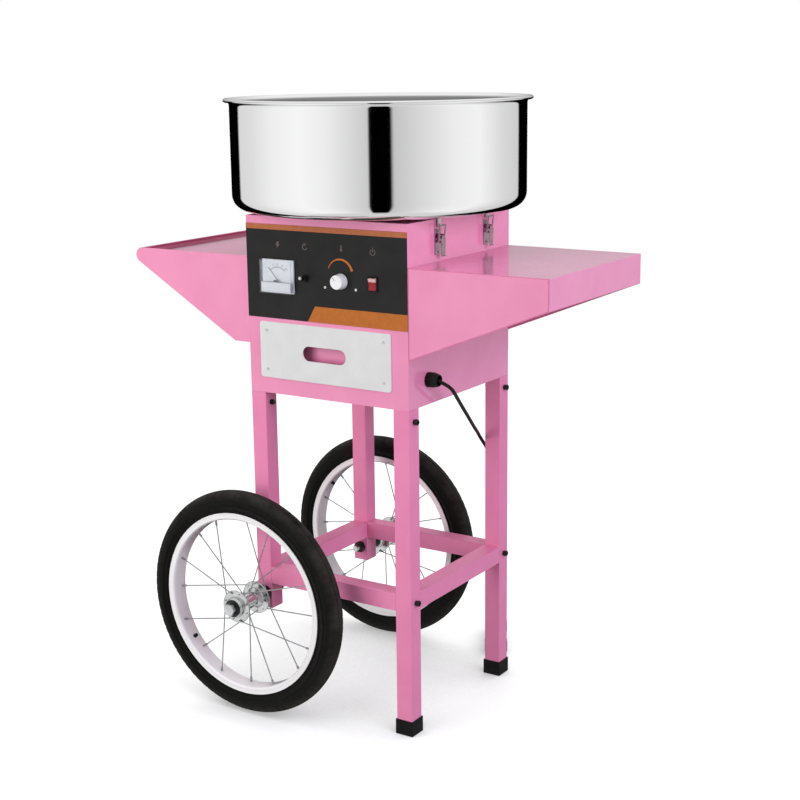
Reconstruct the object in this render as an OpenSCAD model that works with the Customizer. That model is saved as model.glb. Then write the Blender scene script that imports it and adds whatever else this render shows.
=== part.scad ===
// Cotton candy cart: a steel machine box with a spinning head and a round pan,
// on a wheeled tube frame with a tray at each side.
// Millimetres, +Z up, front towards -Y, origin on the floor under the middle of the box.

/* [Machine box] */
// Width of the box, left to right
body_w = 320; // [280:1:380]
// Depth of the box, front to back
body_d = 330; // [290:1:390]
// Height of the box
body_h = 301; // [290:1:340]
// Height of the box's underside over the floor
body_z = 565; // [500:1:650]
// Thickness of the folded sheet
sheet = 1.5; // [1:0.1:2]
// Thickness of the plate under the box
base_t = 2; // [1.5:0.1:3]
// Width of the service opening in the back
rear_w = 260; // [200:1:270]
// Height of the service opening in the back
rear_h = 150; // [120:1:160]
// How far the rear cover laps over its opening
rear_lap = 10; // [8:0.5:12]
// Number of cooling slots in the rear cover
vent_count = 7; // [3:1:9]
// Gap from a cooling slot to the side of its opening
vent_margin = 12; // [6:0.5:30]
// Height of a cooling slot
vent_h = 5; // [3:0.5:7]

/* [Control panel] */
// Height of the black panel
fascia_h = 158; // [150:1:168]
// Thickness of the black panel
fascia_t = 0.8; // [0.5:0.1:1.2]
// Gap from the panel's top edge to the top of the box
fascia_drop = 13; // [8:0.5:18]
// Height of the row of controls over the panel's lower edge
control_rise = 72; // [66:0.5:78]
// Middle of the meter, in from the panel's left end
meter_in = 67; // [55:0.5:72]
// Width of the meter's front
meter_w = 64; // [56:0.5:68]
// Height of the meter's front
meter_h = 56; // [50:0.5:60]
// How far the meter stands out
meter_proud = 12; // [10:0.5:16]
// Toggle switch, in from the panel's left end
toggle_in = 121; // [115:0.5:126]
// Length of the toggle lever
toggle_l = 10; // [8:0.5:16]
// Heat knob, in from the panel's right end
knob_in = 127; // [120:0.5:134]
// Diameter of the knob at the panel
knob_d = 26; // [22:0.5:30]
// Height of the knob
knob_h = 15; // [13:0.5:20]
// Power rocker, in from the panel's right end
rocker_in = 65; // [55:0.5:75]
// Width of the rocker's frame
rocker_w = 19; // [15:0.5:22]
// Height of the rocker's frame
rocker_h = 25; // [21:0.5:30]

/* [Drawer] */
// Drawer, from the middle of the box
drawer_x = -4; // [-8:0.5:8]
// Height of the middle of the drawer over the box's underside
drawer_rise = 75.5; // [70:0.5:77]
// Width of the face plate
plate_w = 264; // [240:1:268]
// Height of the face plate
plate_h = 96; // [88:1:100]
// Thickness of the face plate
plate_t = 2; // [1.5:0.1:3]
// How far the face plate laps over its opening
plate_lap = 5.5; // [4:0.5:8]
// Length of the finger slot
slot_l = 87; // [70:1:100]
// Height of the finger slot
slot_h = 25; // [20:0.5:30]
// Depth of the finger room behind the face plate
finger_d = 18; // [14:0.5:30]
// Depth of the drawer box behind the face plate
drawer_d = 250; // [180:1:280]
// Thickness of the drawer's sheet
drawer_t = 1.2; // [0.8:0.1:1.5]

/* [Drive and head] */
// Radius of the motor
motor_r = 48; // [40:0.5:54]
// Height of the motor
motor_h = 98; // [80:1:104]
// Height of the rubber mounts
mount_h = 8; // [6:0.5:12]
// Radius of the shaft
shaft_r = 6; // [5:0.5:8]
// Radius of the spinning head
head_r = 60; // [50:0.5:68]
// Height of the heated band in the head
band_h = 39; // [30:0.5:44]
// Height of the head's floor over the top of the box
head_rise = 43; // [38:0.5:50]

/* [Pan] */
// Radius of the pan's wall
pan_r = 250; // [230:1:270]
// Height of the pan
pan_h = 184; // [150:1:220]
// Radius of the round corner at the pan's floor
pan_corner = 26; // [15:1:40]
// Thickness of the pan's sheet
pan_t = 1; // [0.8:0.1:1.5]
// Radius of the hole in the pan's floor
pan_hole_r = 75; // [70:1:85]
// Height of the collar round that hole
pan_collar = 28; // [20:1:32]
// How far the rim stands out from the wall
rim_out = 10; // [8:0.5:14]
// Height of the rubber ring under the pan
seat_h = 6; // [5:0.5:8]

/* [Latches] */
// Front latches, from the middle of the box
latch_front_y = -74; // [-85:0.5:-60]
// Rear latches, from the middle of the box
latch_rear_y = 83; // [60:0.5:95]
// Foot of the latch plates, under the top of the box
latch_drop = 58; // [56:0.5:62]
// Width of a latch plate
latch_w = 18; // [17:0.5:24]
// Height of a latch plate
latch_h = 42; // [40:0.5:46]

/* [Frame] */
// Outside width of the square tubes
tube = 30; // [28:0.5:34]
// Wall of the square tubes
tube_wall = 1.5; // [1:0.1:1.8]
// Lower end of the two wheel legs
short_leg_z = 173; // [160:1:180]
// Underside of the stretchers
stretcher_z = 220; // [215:1:300]
// Length of the posts that hang from the box into the legs
stub_l = 60; // [40:1:80]
// Height of a rubber foot
foot_h = 27; // [20:0.5:40]
// Wall of a rubber foot
foot_wall = 2; // [1.5:0.1:3]
// Floor of a rubber foot
foot_floor = 5; // [4:0.5:8]
// Diameter of the frame bolts
bolt_d = 6; // [5:0.5:8]

/* [Trays] */
// Length of each tray, out from the box
tray_l = 250; // [200:1:300]
// Trays' top edge, under the top of the box
tray_drop = 69; // [64:1:75]
// Height of the right tray's outer end
end_h = 50; // [30:1:70]
// Height of the right tray at the box
right_h = 150; // [120:1:170]
// Height of the left tray at the box
left_h = 148; // [120:1:170]
// Radius of the left tray's round nose
nose_r = 13; // [10:0.5:16]
// Depth of the left tray's floor under its edge
left_recess = 14; // [12:0.5:18]

/* [Wheels] */
// Radius of the wheels
wheel_r = 200; // [190:1:210]
// Width of a tyre
tyre_w = 41; // [38:0.5:48]
// Width of a rim
rim_w = 34; // [28:0.5:36]
// Height of the tyre over the rim's edge
tyre_h = 36.5; // [34:0.5:40]
// Middle of each wheel, out from the box's front or back
wheel_gap = 53; // [47:0.5:65]
// Number of spokes, a multiple of four
spoke_count = 16; // [12:4:24]
// Diameter of a spoke
spoke_d = 2; // [1.6:0.1:2.4]
// Radius of a hub flange
flange_r = 29; // [24:0.5:34]
// Radius of the axle bolts
axle_r = 6; // [5:0.5:7]

/* [Mains lead] */
// Diameter of the lead
cord_d = 6.2; // [5.8:0.1:6.3]
// Length of the hank's straight runs
hank_run = 95; // [95:1:120]

/* [Hidden] */
$fn = 64;

// Colours
pink = [0.93, 0.58, 0.73];
steel = [0.78, 0.79, 0.8];
black = [0.07, 0.07, 0.07];
white = [0.93, 0.93, 0.92];

// Fits that pieces share
overrun = 1;
run_gap = 0.05;
clear_gap = 0.3;
slip_gap = 0.2;

// The box
body_top = body_z + body_h;
front_y = -body_d / 2;
face_y = front_y - fascia_t;
inner_y = front_y + sheet;
deck_z = body_top - sheet;
fascia_top = body_top - fascia_drop;
fascia_z = fascia_top - fascia_h;
control_z = fascia_z + control_rise;
rear_margin = 16;
rear_top = body_top - rear_margin;
rear_z = rear_top - rear_h;
vent_pitch = rear_h / (vent_count + 1);
vent_bridge = 6;
vent_l = rear_w / 2 - vent_bridge - vent_margin;
shaft_hole_r = 25;

// Screws with round heads
screw_r = 2;
screw_head_r = 4;
screw_head_h = 1.8;
screw_l = 8;
plate_screw_r = 1.5;
plate_head_r = 2.6;
plate_head_h = 1;

// Meter
meter_x = -body_w / 2 + meter_in;
meter_base = 3;
meter_wall = 1.5;
meter_can_r = 26;
meter_can_l = 34;
dial_margin = 5;
dial_w = meter_w - 2 * dial_margin;
dial_h = 36;
dial_t = 1;
dial_rise = 6;
needle_drop = 12;
needle_r = 0.8;
needle_hub_r = 2.6;
needle_t = 0.6;
needle_w = 1;
needle_l = 26;
needle_lift = 1.2;
needle_rest = -42;

// Toggle switch
toggle_x = -body_w / 2 + toggle_in;
toggle_bush_r = 4.6;
toggle_bush_l = 7;
toggle_nut_r = 6.8;
toggle_nut_h = 3;
toggle_w = 13;
toggle_h = 26;
toggle_d = 22;
toggle_ball_r = 2.8;
toggle_neck_r = 1.5;
toggle_tip_r = 3.4;
toggle_arm_r = 2.2;
toggle_tilt = 11;
toggle_pivot_y = face_y - toggle_bush_l + toggle_ball_r;

// Heat knob and its potentiometer
knob_x = body_w / 2 - knob_in;
pot_r = 12;
pot_d = 14;
pot_bush_r = 4.8;
pot_bush_l = 6;
pot_nut_r = 7;
pot_nut_h = 2.5;
pot_shaft_r = 3;
knob_gap = 0.6;
knob_wall = 3;
knob_taper = 1.5;

// Power rocker
rocker_x = body_w / 2 - rocker_in;
rocker_proud = 2;
rocker_depth = 16;
rocker_wall = 1.2;
rocker_frame = 1.1;
rocker_pin_r = 1;
rocker_pin_in = 1;
rocker_pivot_y = face_y + rocker_pin_in;
rocker_tilt = 7;
rocker_out = 5.4;
rocker_dip = 3.6;
rocker_heel = 3;
rocker_play = 0.6;
rocker_half = (rocker_h - 2 * rocker_frame) / 2 - rocker_wall - rocker_play;

// Drawer
drawer_z = body_z + drawer_rise;
open_w = plate_w - 2 * plate_lap;
open_h = plate_h - 2 * plate_lap;
drawer_gap = 1;
box_w = open_w - 2 * drawer_gap;
box_h = open_h - 2 * drawer_gap;
plate_y = front_y - plate_t;
drawer_flange = 16;
drawer_screw_x = box_w / 2 - drawer_flange / 2;
drawer_screw_z = box_h / 2 - drawer_flange / 2;
plate_corner = 5;
runner_t = 1.5;
runner_shelf = 14;
runner_up = 40;

// Motor, shaft and head
motor_flange_r = motor_r + 2 * mount_h;
motor_flange_h = 6;
mount_r = 7;
mount_pcd = motor_r + mount_h;
motor_top = deck_z - mount_h;
motor_z = motor_top - motor_h;
shaft_tail = 40;
ring_r = 14;
ring_core_r = 11;
ring_h = 9;
ring_gap = 6;
ring_stack = 2 * ring_h + 3 * ring_gap;
brush_l = 30;
brush_w = 24;
head_z = body_top + head_rise;
head_floor = 4;
hub_r = 14;
hub_drop = 10;
hub_up = 16;
band_t = 2;
band_r = head_r - 2 * band_t;
post_r = 3;
post_inset = 20;
post_at = head_r - post_inset;
cap_t = 3;
cap_hole_r = 27;
cap_lip_h = 11;
cap_lip_t = 2;
shaft_top = head_z + head_floor + hub_up;

// Pan
pan_z = body_top + seat_h;
pan_top = pan_z + pan_h;
bead_r = 3;
rim_h = 6;
seat_r = 138;
seat_t = 16;
corner_steps = 8;

// Latches: out from the side of the box, along it, and up from the plate's foot
latch_z = body_top - latch_drop;
latch_t = 1.5;
ear_t = 1.2;
ear_r = 3.5;
ear_half = 5.4;
pin_out = 6.5;
pin_up = 30;
pin_r = 1.2;
knuckle_r = 2.6;
knuckle_half = ear_half - ear_t - clear_gap;
lever_out = 10.6;
lever_t = 1.2;
lever_top_half = 6.8;
lever_tip_half = 5;
lever_up = pin_up - pin_r - knuckle_r / 2;
lever_down = 2;
lever_curl = 3;
bail_r = 1.1;
bail_out = 7.5;
bail_up = 21;
bail_half = lever_top_half + clear_gap + bail_r;
lug_r = 2.4;
lug_half = 4;
catch_out = 3;
catch_reach = 6;
catch_t = 1.5;
catch_half = 5;
catch_up = 45;
bail_clear = 0.7;
bail_bar_out = catch_out + catch_reach + bail_r + bail_clear;
bail_bar_up = catch_up + catch_t + bail_r + bail_clear;
latch_spots = [[1, latch_front_y], [1, latch_rear_y], [-1, latch_front_y], [-1, latch_rear_y]];

// Frame
leg_x = body_w / 2 - tube / 2;
leg_y = body_d / 2 - tube / 2;
stub_gap = 0.5;
stub = tube - 2 * tube_wall - 2 * stub_gap;
stub_t = 2;
stretcher_end = 4;
bolt_head_r = 5;
bolt_head_h = 8;
bolt_neck_r = 3.8;
bolt_neck_h = 3;
bolt_tail = 7;
bolt_nut_h = 4;
top_bolt_drop = 20;
top_bolt_z = body_z - top_bolt_drop;
low_bolt_z = stretcher_z + tube / 2;

// Trays
tray_z = body_top - tray_drop;
tray_flange = 24;
flange_margin = 6;
tray_bolt_y = body_d / 2 - sheet - tray_flange / 2;
tray_bolt_hi = 27;
tray_bolt_lo = 107;
nose_x = body_w / 2 + tray_l - nose_r;
left_foot = 32;

// Wheels
axle_z = wheel_r;
wheel_y = body_d / 2 + wheel_gap;
lip_r = wheel_r - tyre_h;
rim_t = 2;
rim_depth = 12.5;
bed_r = lip_r - rim_depth + rim_t;
bead_half = rim_w / 2 - rim_t;
tyre_rise = 16.5;
tyre_mid_r = lip_r + tyre_rise;
tyre_arc_r = wheel_r - tyre_mid_r;
tyre_arc_steps = 14;
tyre_arc = asin(bead_half / (tyre_w / 2));
hub_half = 37;
hub_core_r = 13;
hub_end_r = 18;
flange_at = 27;
flange_t = 3;
spoke_hole_in = 4.5;
spoke_hole_at = flange_r - spoke_hole_in;
spoke_gap = 0.1;
spoke_bend = 1.2;
spoke_in = flange_t / 2 + spoke_d / 2 + spoke_gap;
spoke_out = flange_t / 2 + spoke_d / 2 + spoke_bend;
spoke_rim_side = 5;
spoke_turn = 50;
nipple_r = 1.9;
nipple_l = 9;
spoke_sink = 1;
axle_head_r = 11;
axle_head_h = 10;
axle_washer_r = 15;
axle_washer_t = 3;
axle_spacer_r = 14;
axle_nut_h = 9;
axle_tail = 20;
hub_out_y = wheel_y + hub_half;
hub_in_y = wheel_y - hub_half;

// Mains lead: the gland, the lead's route down the back and the hank on the floor
gland_in = 60;
gland_y = front_y + gland_in;
gland_rise = 42;
gland_z = body_z + gland_rise;
gland_nut_r = 12.6;
gland_nut_h = 11;
gland_nose_r = 9.8;
gland_nose_l = 10;
gland_neck_r = 8;
gland_bore_at = 6;
gland_bore_play = 0.6;
gland_mouth_r = 8.4;
gland_l = gland_nut_h + gland_nose_l;
gland_lock_h = 5;
cord_r = cord_d / 2;
cord_route = [[166, -105, 607], [174, -104.2, 606.2], [181.4, -101.8, 603.9],
    [187.6, -98.1, 600.3], [192.1, -93.3, 595.7], [194.6, -87.8, 590.4], [194.9, -82.7, 585.4],
    [191.5, -62, 567.2], [185.5, -38, 549], [176.5, -8, 529], [164, 26, 509], [151, 60, 490],
    [138.5, 93, 472], [127.5, 121, 456], [119.5, 147, 439.3], [114.3, 168, 423.6],
    [110.4, 179, 408], [107.6, 185.5, 386], [106.2, 187.6, 360], [105.8, 187.8, 330],
    [105.8, 187.8, 290], [105.8, 187.8, 240], [105.8, 187.8, 190], [105.8, 187.8, 140],
    [105.8, 187.8, 95], [105.8, 187.8, 51.7], [103.7, 190.9, 37.7], [97.9, 199.3, 27.5],
    [90.3, 211.2, 23.7], [85.1, 219.7, 23.7]];
route_steps = 2;
route_leg = [145, 150, 0];
route_last = len(cord_route) - 1;
route_from = 6;
route_span = 9;
hank_turn = 119;
hank_layers = 4;
hank_pitch = (cord_route[route_last].z - cord_r) / (hank_layers - 1);
hank_fold_r = 3 * cord_d;
hank_waist = 2;
run_steps = 6;
fold_steps = 6;
tail_l = 84;
tail_bend = 60;
tail_lift_from = 24;
tail_steps = 7;
plug_r = 13;
plug_l = 36;
boot_l = 24;
boot_tip_r = 4.4;
boot_foot_r = 8;
blade_t = 1.5;
blade_w = 6.3;
blade_l = 16;
blade_gap = 12.7;
earth_r = 2.4;

function ease(u) = (1 - cos(180 * max(0, min(1, u)))) / 2;
function unit(v) = v / norm(v);

// Shapes that repeat
module span(lo, hi) { translate(lo) cube(hi - lo); }

module rod(a, b, r) {
    way = b - a;
    translate(a) rotate([0, acos(way.z / norm(way)), atan2(way.y, way.x)])
        cylinder(h = norm(way), r = r);
}

module square_tube(lo, hi, along) {
    inset = [for (i = [0:2]) i == along ? -overrun : tube_wall];
    difference() {
        span(lo, hi);
        span(lo + inset, hi - inset);
    }
}

// A round bar along Y from y = a to y = b
module bar_y(x, z, a, b, r) { rod([x, a, z], [x, b, z], r); }

// A round-headed screw whose head sits on y = at, head towards -Y
module screw_y(x, z, at) {
    bar_y(x, z, at - screw_head_h, at, screw_head_r);
    bar_y(x, z, at - screw_head_h, at + screw_l, screw_r);
}

// A frame bolt along X, its head on x = 0 and its nut on the far side of the grip
module frame_bolt(grip) {
    rod([0, 0, 0], [bolt_neck_h + overrun, 0, 0], bolt_neck_r);
    rod([bolt_neck_h, 0, 0], [bolt_head_h, 0, 0], bolt_head_r);
    rod([-grip - bolt_tail, 0, 0], [bolt_head_h, 0, 0], bolt_d / 2);
    rotate([0, -90, 0]) translate([0, 0, grip]) cylinder(h = bolt_nut_h, r = bolt_head_r, $fn = 6);
}

// One swept tube through the given points, with given end directions
module swept_tube(points, r, sides, up, first, last) {
    n = len(points);
    ways = [for (i = [0:n - 1]) i == 0 ? unit(first) : i == n - 1 ? unit(last)
        : unit(points[i + 1] - points[i - 1])];
    rings = [for (i = [0:n - 1]) let (across = unit(cross(ways[i], up)), over = cross(across, ways[i]))
        for (k = [0:sides - 1]) let (a = 360 * (k + 0.5) / sides)
        points[i] + r * (cos(a) * across + sin(a) * over)];
    walls = [for (i = [0:n - 2], k = [0:sides - 1]) let (a = i * sides + k,
        b = i * sides + (k + 1) % sides) for (f = [[a, b, b + sides], [a, b + sides, a + sides]]) f];
    start_cap = [for (k = [1:sides - 2]) [0, k + 1, k]];
    end_at = (n - 1) * sides;
    end_cap = [for (k = [1:sides - 2]) [end_at, end_at + k, end_at + k + 1]];
    polyhedron(rings, concat(walls, start_cap, end_cap));
}

// Cut-outs for the four controls, through the panel and the box's front
module control_cutouts() {
    a = face_y - overrun;
    b = inner_y + overrun;
    bar_y(meter_x, control_z, a, b, meter_can_r + slip_gap);
    bar_y(toggle_x, control_z, a, b, toggle_bush_r + slip_gap);
    bar_y(knob_x, control_z, a, b, pot_bush_r + slip_gap);
    half = [rocker_w / 2 - rocker_frame + slip_gap, 0, rocker_h / 2 - rocker_frame + slip_gap];
    span([rocker_x, a, control_z] - half, [rocker_x, b, control_z] + half);
}

// Places of the eight tray bolts, as side, y and drop under the tray's edge
tray_bolt_spots = [for (side = [-1, 1], end = [-1, 1], drop = [tray_bolt_hi, tray_bolt_lo])
    [side, end * tray_bolt_y, drop]];

// Machine box
module casing() {
    color(pink) difference() {
        span([-body_w / 2, front_y, body_z], [body_w / 2, -front_y, body_top]);
        span([-body_w / 2 + sheet, inner_y, body_z - overrun], [body_w / 2 - sheet, -inner_y, deck_z]);
        control_cutouts();
        span([drawer_x - open_w / 2, front_y - overrun, drawer_z - open_h / 2],
            [drawer_x + open_w / 2, inner_y + overrun, drawer_z + open_h / 2]);
        span([-rear_w / 2, -inner_y - overrun, rear_z], [rear_w / 2, -front_y + overrun, rear_top]);
        translate([0, 0, deck_z - overrun]) cylinder(h = sheet + 2 * overrun, r = shaft_hole_r);
        for (s = tray_bolt_spots) {
            at = [s[0] * body_w / 2, s[1], tray_z - s[2]];
            rod(at - [sheet + overrun, 0, 0], at + [sheet + overrun, 0, 0], bolt_d / 2 + slip_gap);
        }
        rod([body_w / 2 - sheet - overrun, gland_y, gland_z], [body_w / 2 + overrun, gland_y, gland_z],
            gland_neck_r + slip_gap);
        for (x = [-1, 0, 1], z = [rear_z, rear_top])
            bar_y(x * (rear_w - rear_lap) / 2, z + (z == rear_top ? 1 : -1) * rear_lap / 2,
                -inner_y - overrun, -front_y + overrun, screw_r + slip_gap);
    }
}

// Floor of the box with the four posts that go down into the legs
module base_plate() {
    color(pink) {
        span([-body_w / 2 + sheet, inner_y, body_z], [body_w / 2 - sheet, -inner_y, body_z + base_t]);
        for (x = [-1, 1], y = [-1, 1]) difference() {
            translate([x * leg_x, y * leg_y, 0])
                span([-stub / 2, -stub / 2, body_z - stub_l], [stub / 2, stub / 2, body_z + base_t]);
            translate([x * leg_x, y * leg_y, 0])
                span([-stub / 2 + stub_t, -stub / 2 + stub_t, body_z - stub_l - overrun],
                    [stub / 2 - stub_t, stub / 2 - stub_t, body_z]);
            rod([x * leg_x - stub, y * leg_y, top_bolt_z], [x * leg_x + stub, y * leg_y, top_bolt_z],
                bolt_d / 2 + slip_gap);
        }
    }
}

module rear_cover() {
    color(pink) difference() {
        span([-rear_w / 2 - rear_lap, -front_y, rear_z - rear_lap],
            [rear_w / 2 + rear_lap, -front_y + sheet, rear_top + rear_lap]);
        for (i = [1:vent_count], x = [-1, 1]) {
            z = rear_z + i * vent_pitch;
            lo = x < 0 ? -vent_bridge - vent_l : vent_bridge;
            span([lo, -front_y - overrun, z - vent_h / 2],
                [lo + vent_l, -front_y + sheet + overrun, z + vent_h / 2]);
        }
        for (x = [-1, 0, 1], z = [rear_z, rear_top])
            bar_y(x * (rear_w - rear_lap) / 2, z + (z == rear_top ? 1 : -1) * rear_lap / 2,
                -front_y - overrun, -front_y + sheet + overrun, screw_r + slip_gap);
    }
}

module rear_screws() {
    color(steel) for (x = [-1, 0, 1], z = [rear_z, rear_top])
        mirror([0, 1, 0]) screw_y(x * (rear_w - rear_lap) / 2,
            z + (z == rear_top ? 1 : -1) * rear_lap / 2, front_y - sheet);
}

// Control panel
module control_fascia() {
    color(black) difference() {
        span([-body_w / 2, face_y, fascia_z], [body_w / 2, front_y, fascia_top]);
        control_cutouts();
    }
}

// Meter body with its dial and the needle's pivot pin
module meter_case() {
    dial_y = face_y - meter_base - dial_t;
    color(white) {
        span([meter_x - meter_w / 2, face_y - meter_base, control_z - meter_h / 2],
            [meter_x + meter_w / 2, face_y, control_z + meter_h / 2]);
        bar_y(meter_x, control_z, face_y - meter_base / 2, face_y + meter_can_l, meter_can_r);
        span([meter_x - dial_w / 2, dial_y, control_z + dial_rise - dial_h / 2],
            [meter_x + dial_w / 2, face_y - meter_base / 2, control_z + dial_rise + dial_h / 2]);
        bar_y(meter_x, control_z - needle_drop + dial_rise, dial_y - needle_lift - 2 * needle_t, face_y,
            needle_r);
    }
}

module meter_cover() {
    color([0.9, 0.93, 0.95, 0.35]) difference() {
        span([meter_x - meter_w / 2, face_y - meter_proud, control_z - meter_h / 2],
            [meter_x + meter_w / 2, face_y - meter_base, control_z + meter_h / 2]);
        span([meter_x - meter_w / 2 + meter_wall, face_y - meter_proud + meter_wall,
                control_z - meter_h / 2 + meter_wall],
            [meter_x + meter_w / 2 - meter_wall, face_y - meter_base + overrun,
                control_z + meter_h / 2 - meter_wall]);
    }
}

module meter_needle() {
    near_y = face_y - meter_base - dial_t - needle_lift;
    color(black) translate([meter_x, 0, control_z - needle_drop + dial_rise]) difference() {
        union() {
            bar_y(0, 0, near_y - needle_t, near_y + needle_t, needle_hub_r);
            rotate([0, needle_rest, 0])
                span([-needle_w / 2, near_y - needle_t / 2, 0],
                    [needle_w / 2, near_y + needle_t / 2, needle_l]);
        }
        bar_y(0, 0, near_y - overrun, near_y + overrun, needle_r + run_gap);
    }
}

module toggle_body() {
    color(black) difference() {
        union() {
            span([toggle_x - toggle_w / 2, inner_y, control_z - toggle_h / 2],
                [toggle_x + toggle_w / 2, inner_y + toggle_d, control_z + toggle_h / 2]);
            bar_y(toggle_x, control_z, face_y - toggle_bush_l, inner_y + overrun, toggle_bush_r);
            translate([toggle_x, face_y, control_z]) rotate([90, 0, 0])
                cylinder(h = toggle_nut_h, r = toggle_nut_r, $fn = 6);
        }
        bar_y(toggle_x, control_z, face_y - toggle_bush_l - overrun, face_y, toggle_ball_r + clear_gap);
    }
}

module toggle_lever() {
    color(steel) translate([toggle_x, toggle_pivot_y, control_z]) rotate([90 - toggle_tilt, 0, 0]) {
        sphere(r = toggle_ball_r);
        cylinder(h = toggle_l, r1 = toggle_neck_r, r2 = toggle_arm_r);
        translate([0, 0, toggle_l]) sphere(r = toggle_tip_r);
    }
}

module pot_body() {
    color(steel) difference() {
        union() {
            bar_y(knob_x, control_z, inner_y, inner_y + pot_d, pot_r);
            bar_y(knob_x, control_z, face_y - pot_bush_l, inner_y + overrun, pot_bush_r);
            translate([knob_x, face_y, control_z]) rotate([90, 0, 0])
                cylinder(h = pot_nut_h, r = pot_nut_r, $fn = 6);
        }
        bar_y(knob_x, control_z, face_y - pot_bush_l - overrun, inner_y + pot_d - sheet,
            pot_shaft_r + run_gap);
    }
}

// Knob and the shaft that it turns
module control_knob() {
    foot_y = face_y - knob_gap;
    color(white) {
        difference() {
            translate([knob_x, foot_y, control_z]) rotate([90, 0, 0])
                cylinder(h = knob_h, r1 = knob_d / 2, r2 = knob_d / 2 - knob_taper);
            bar_y(knob_x, control_z, foot_y - pot_bush_l - clear_gap, foot_y + overrun,
                knob_d / 2 - knob_wall);
        }
        bar_y(knob_x, control_z, foot_y - knob_h / 2, inner_y + pot_d / 2, pot_shaft_r);
    }
}

module rocker_housing() {
    half_w = rocker_w / 2 - rocker_frame;
    half_h = rocker_h / 2 - rocker_frame;
    color(black) {
        difference() {
            union() {
                span([rocker_x - rocker_w / 2, face_y - rocker_proud, control_z - rocker_h / 2],
                    [rocker_x + rocker_w / 2, face_y, control_z + rocker_h / 2]);
                span([rocker_x - half_w, face_y - rocker_proud, control_z - half_h],
                    [rocker_x + half_w, face_y + rocker_depth, control_z + half_h]);
            }
            span([rocker_x - half_w + rocker_wall, face_y - rocker_proud - overrun,
                    control_z - half_h + rocker_wall],
                [rocker_x + half_w - rocker_wall, face_y + rocker_depth - rocker_wall,
                    control_z + half_h - rocker_wall]);
        }
        rod([rocker_x - half_w + rocker_wall / 2, rocker_pivot_y, control_z],
            [rocker_x + half_w - rocker_wall / 2, rocker_pivot_y, control_z], rocker_pin_r);
    }
}

module rocker_button() {
    half_w = rocker_w / 2 - rocker_frame - rocker_wall - clear_gap;
    color([0.8, 0.05, 0.08]) translate([rocker_x, rocker_pivot_y, control_z]) rotate([rocker_tilt, 0, 0])
        difference() {
            rotate([90, 0, 90]) translate([0, 0, -half_w]) linear_extrude(height = 2 * half_w)
                polygon([[-rocker_out, rocker_half], [-rocker_dip, 0], [-rocker_out, -rocker_half],
                    [0, -rocker_half], [rocker_heel, -rocker_heel], [rocker_heel, rocker_heel],
                    [0, rocker_half]]);
            rod([-half_w - overrun, 0, 0], [half_w + overrun, 0, 0], rocker_pin_r + run_gap);
        }
}

// Drawer
module drawer_runners() {
    shelf_top = drawer_z - box_h / 2 - clear_gap;
    wall_x = box_w / 2 + drawer_gap / 2;
    color(steel) for (side = [-1, 1]) translate([drawer_x, 0, 0]) mirror([side < 0 ? 1 : 0, 0, 0]) {
        span([wall_x, inner_y, shelf_top - runner_t], [wall_x + runner_t, -inner_y, shelf_top + runner_up]);
        span([wall_x - runner_shelf, inner_y, shelf_top - runner_t],
            [wall_x + runner_t, -inner_y, shelf_top]);
    }
}

module drawer_box() {
    lo = [drawer_x - box_w / 2, front_y, drawer_z - box_h / 2];
    hi = [drawer_x + box_w / 2, front_y + drawer_d, drawer_z + box_h / 2];
    wall_y = front_y + finger_d;
    color(pink) difference() {
        span(lo, hi);
        span([lo.x + drawer_t, wall_y + drawer_t, lo.z + drawer_t],
            [hi.x - drawer_t, hi.y - drawer_t, hi.z + overrun]);
        span([lo.x + drawer_t, front_y + drawer_t, lo.z + drawer_t],
            [hi.x - drawer_t, wall_y, hi.z + overrun]);
        span([lo.x + drawer_flange, front_y - overrun, lo.z + drawer_t],
            [hi.x - drawer_flange, wall_y, hi.z + overrun]);
        for (x = [-1, 1], z = [-1, 1])
            bar_y(drawer_x + x * drawer_screw_x, drawer_z + z * drawer_screw_z, front_y - overrun,
                front_y + drawer_t + overrun, plate_screw_r + slip_gap);
    }
}

module drawer_front() {
    half_w = plate_w / 2;
    half_h = plate_h / 2;
    color(white) difference() {
        union() {
            span([drawer_x - half_w + plate_corner, plate_y, drawer_z - half_h],
                [drawer_x + half_w - plate_corner, front_y, drawer_z + half_h]);
            span([drawer_x - half_w, plate_y, drawer_z - half_h + plate_corner],
                [drawer_x + half_w, front_y, drawer_z + half_h - plate_corner]);
            for (x = [-1, 1], z = [-1, 1])
                bar_y(drawer_x + x * (half_w - plate_corner), drawer_z + z * (half_h - plate_corner),
                    plate_y, front_y, plate_corner);
        }
        for (x = [-1, 1])
            bar_y(drawer_x + x * (slot_l - slot_h) / 2, drawer_z, plate_y - overrun, front_y + overrun,
                slot_h / 2);
        span([drawer_x - (slot_l - slot_h) / 2, plate_y - overrun, drawer_z - slot_h / 2],
            [drawer_x + (slot_l - slot_h) / 2, front_y + overrun, drawer_z + slot_h / 2]);
        for (x = [-1, 1], z = [-1, 1])
            bar_y(drawer_x + x * drawer_screw_x, drawer_z + z * drawer_screw_z, plate_y - overrun,
                front_y + overrun, plate_screw_r + slip_gap);
    }
}

module drawer_screws() {
    color(steel) for (x = [-1, 1], z = [-1, 1]) {
        at = [drawer_x + x * drawer_screw_x, drawer_z + z * drawer_screw_z];
        bar_y(at.x, at.y, plate_y - plate_head_h, plate_y, plate_head_r);
        bar_y(at.x, at.y, plate_y - plate_head_h, plate_y + screw_l, plate_screw_r);
    }
}

// Drive
module motor() {
    color([0.3, 0.32, 0.34]) difference() {
        union() {
            translate([0, 0, motor_z]) cylinder(h = motor_h, r = motor_r);
            translate([0, 0, motor_top - motor_flange_h]) cylinder(h = motor_flange_h, r = motor_flange_r);
        }
        translate([0, 0, motor_z - overrun]) cylinder(h = motor_h + 2 * overrun, r = shaft_r + run_gap);
    }
}

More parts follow.
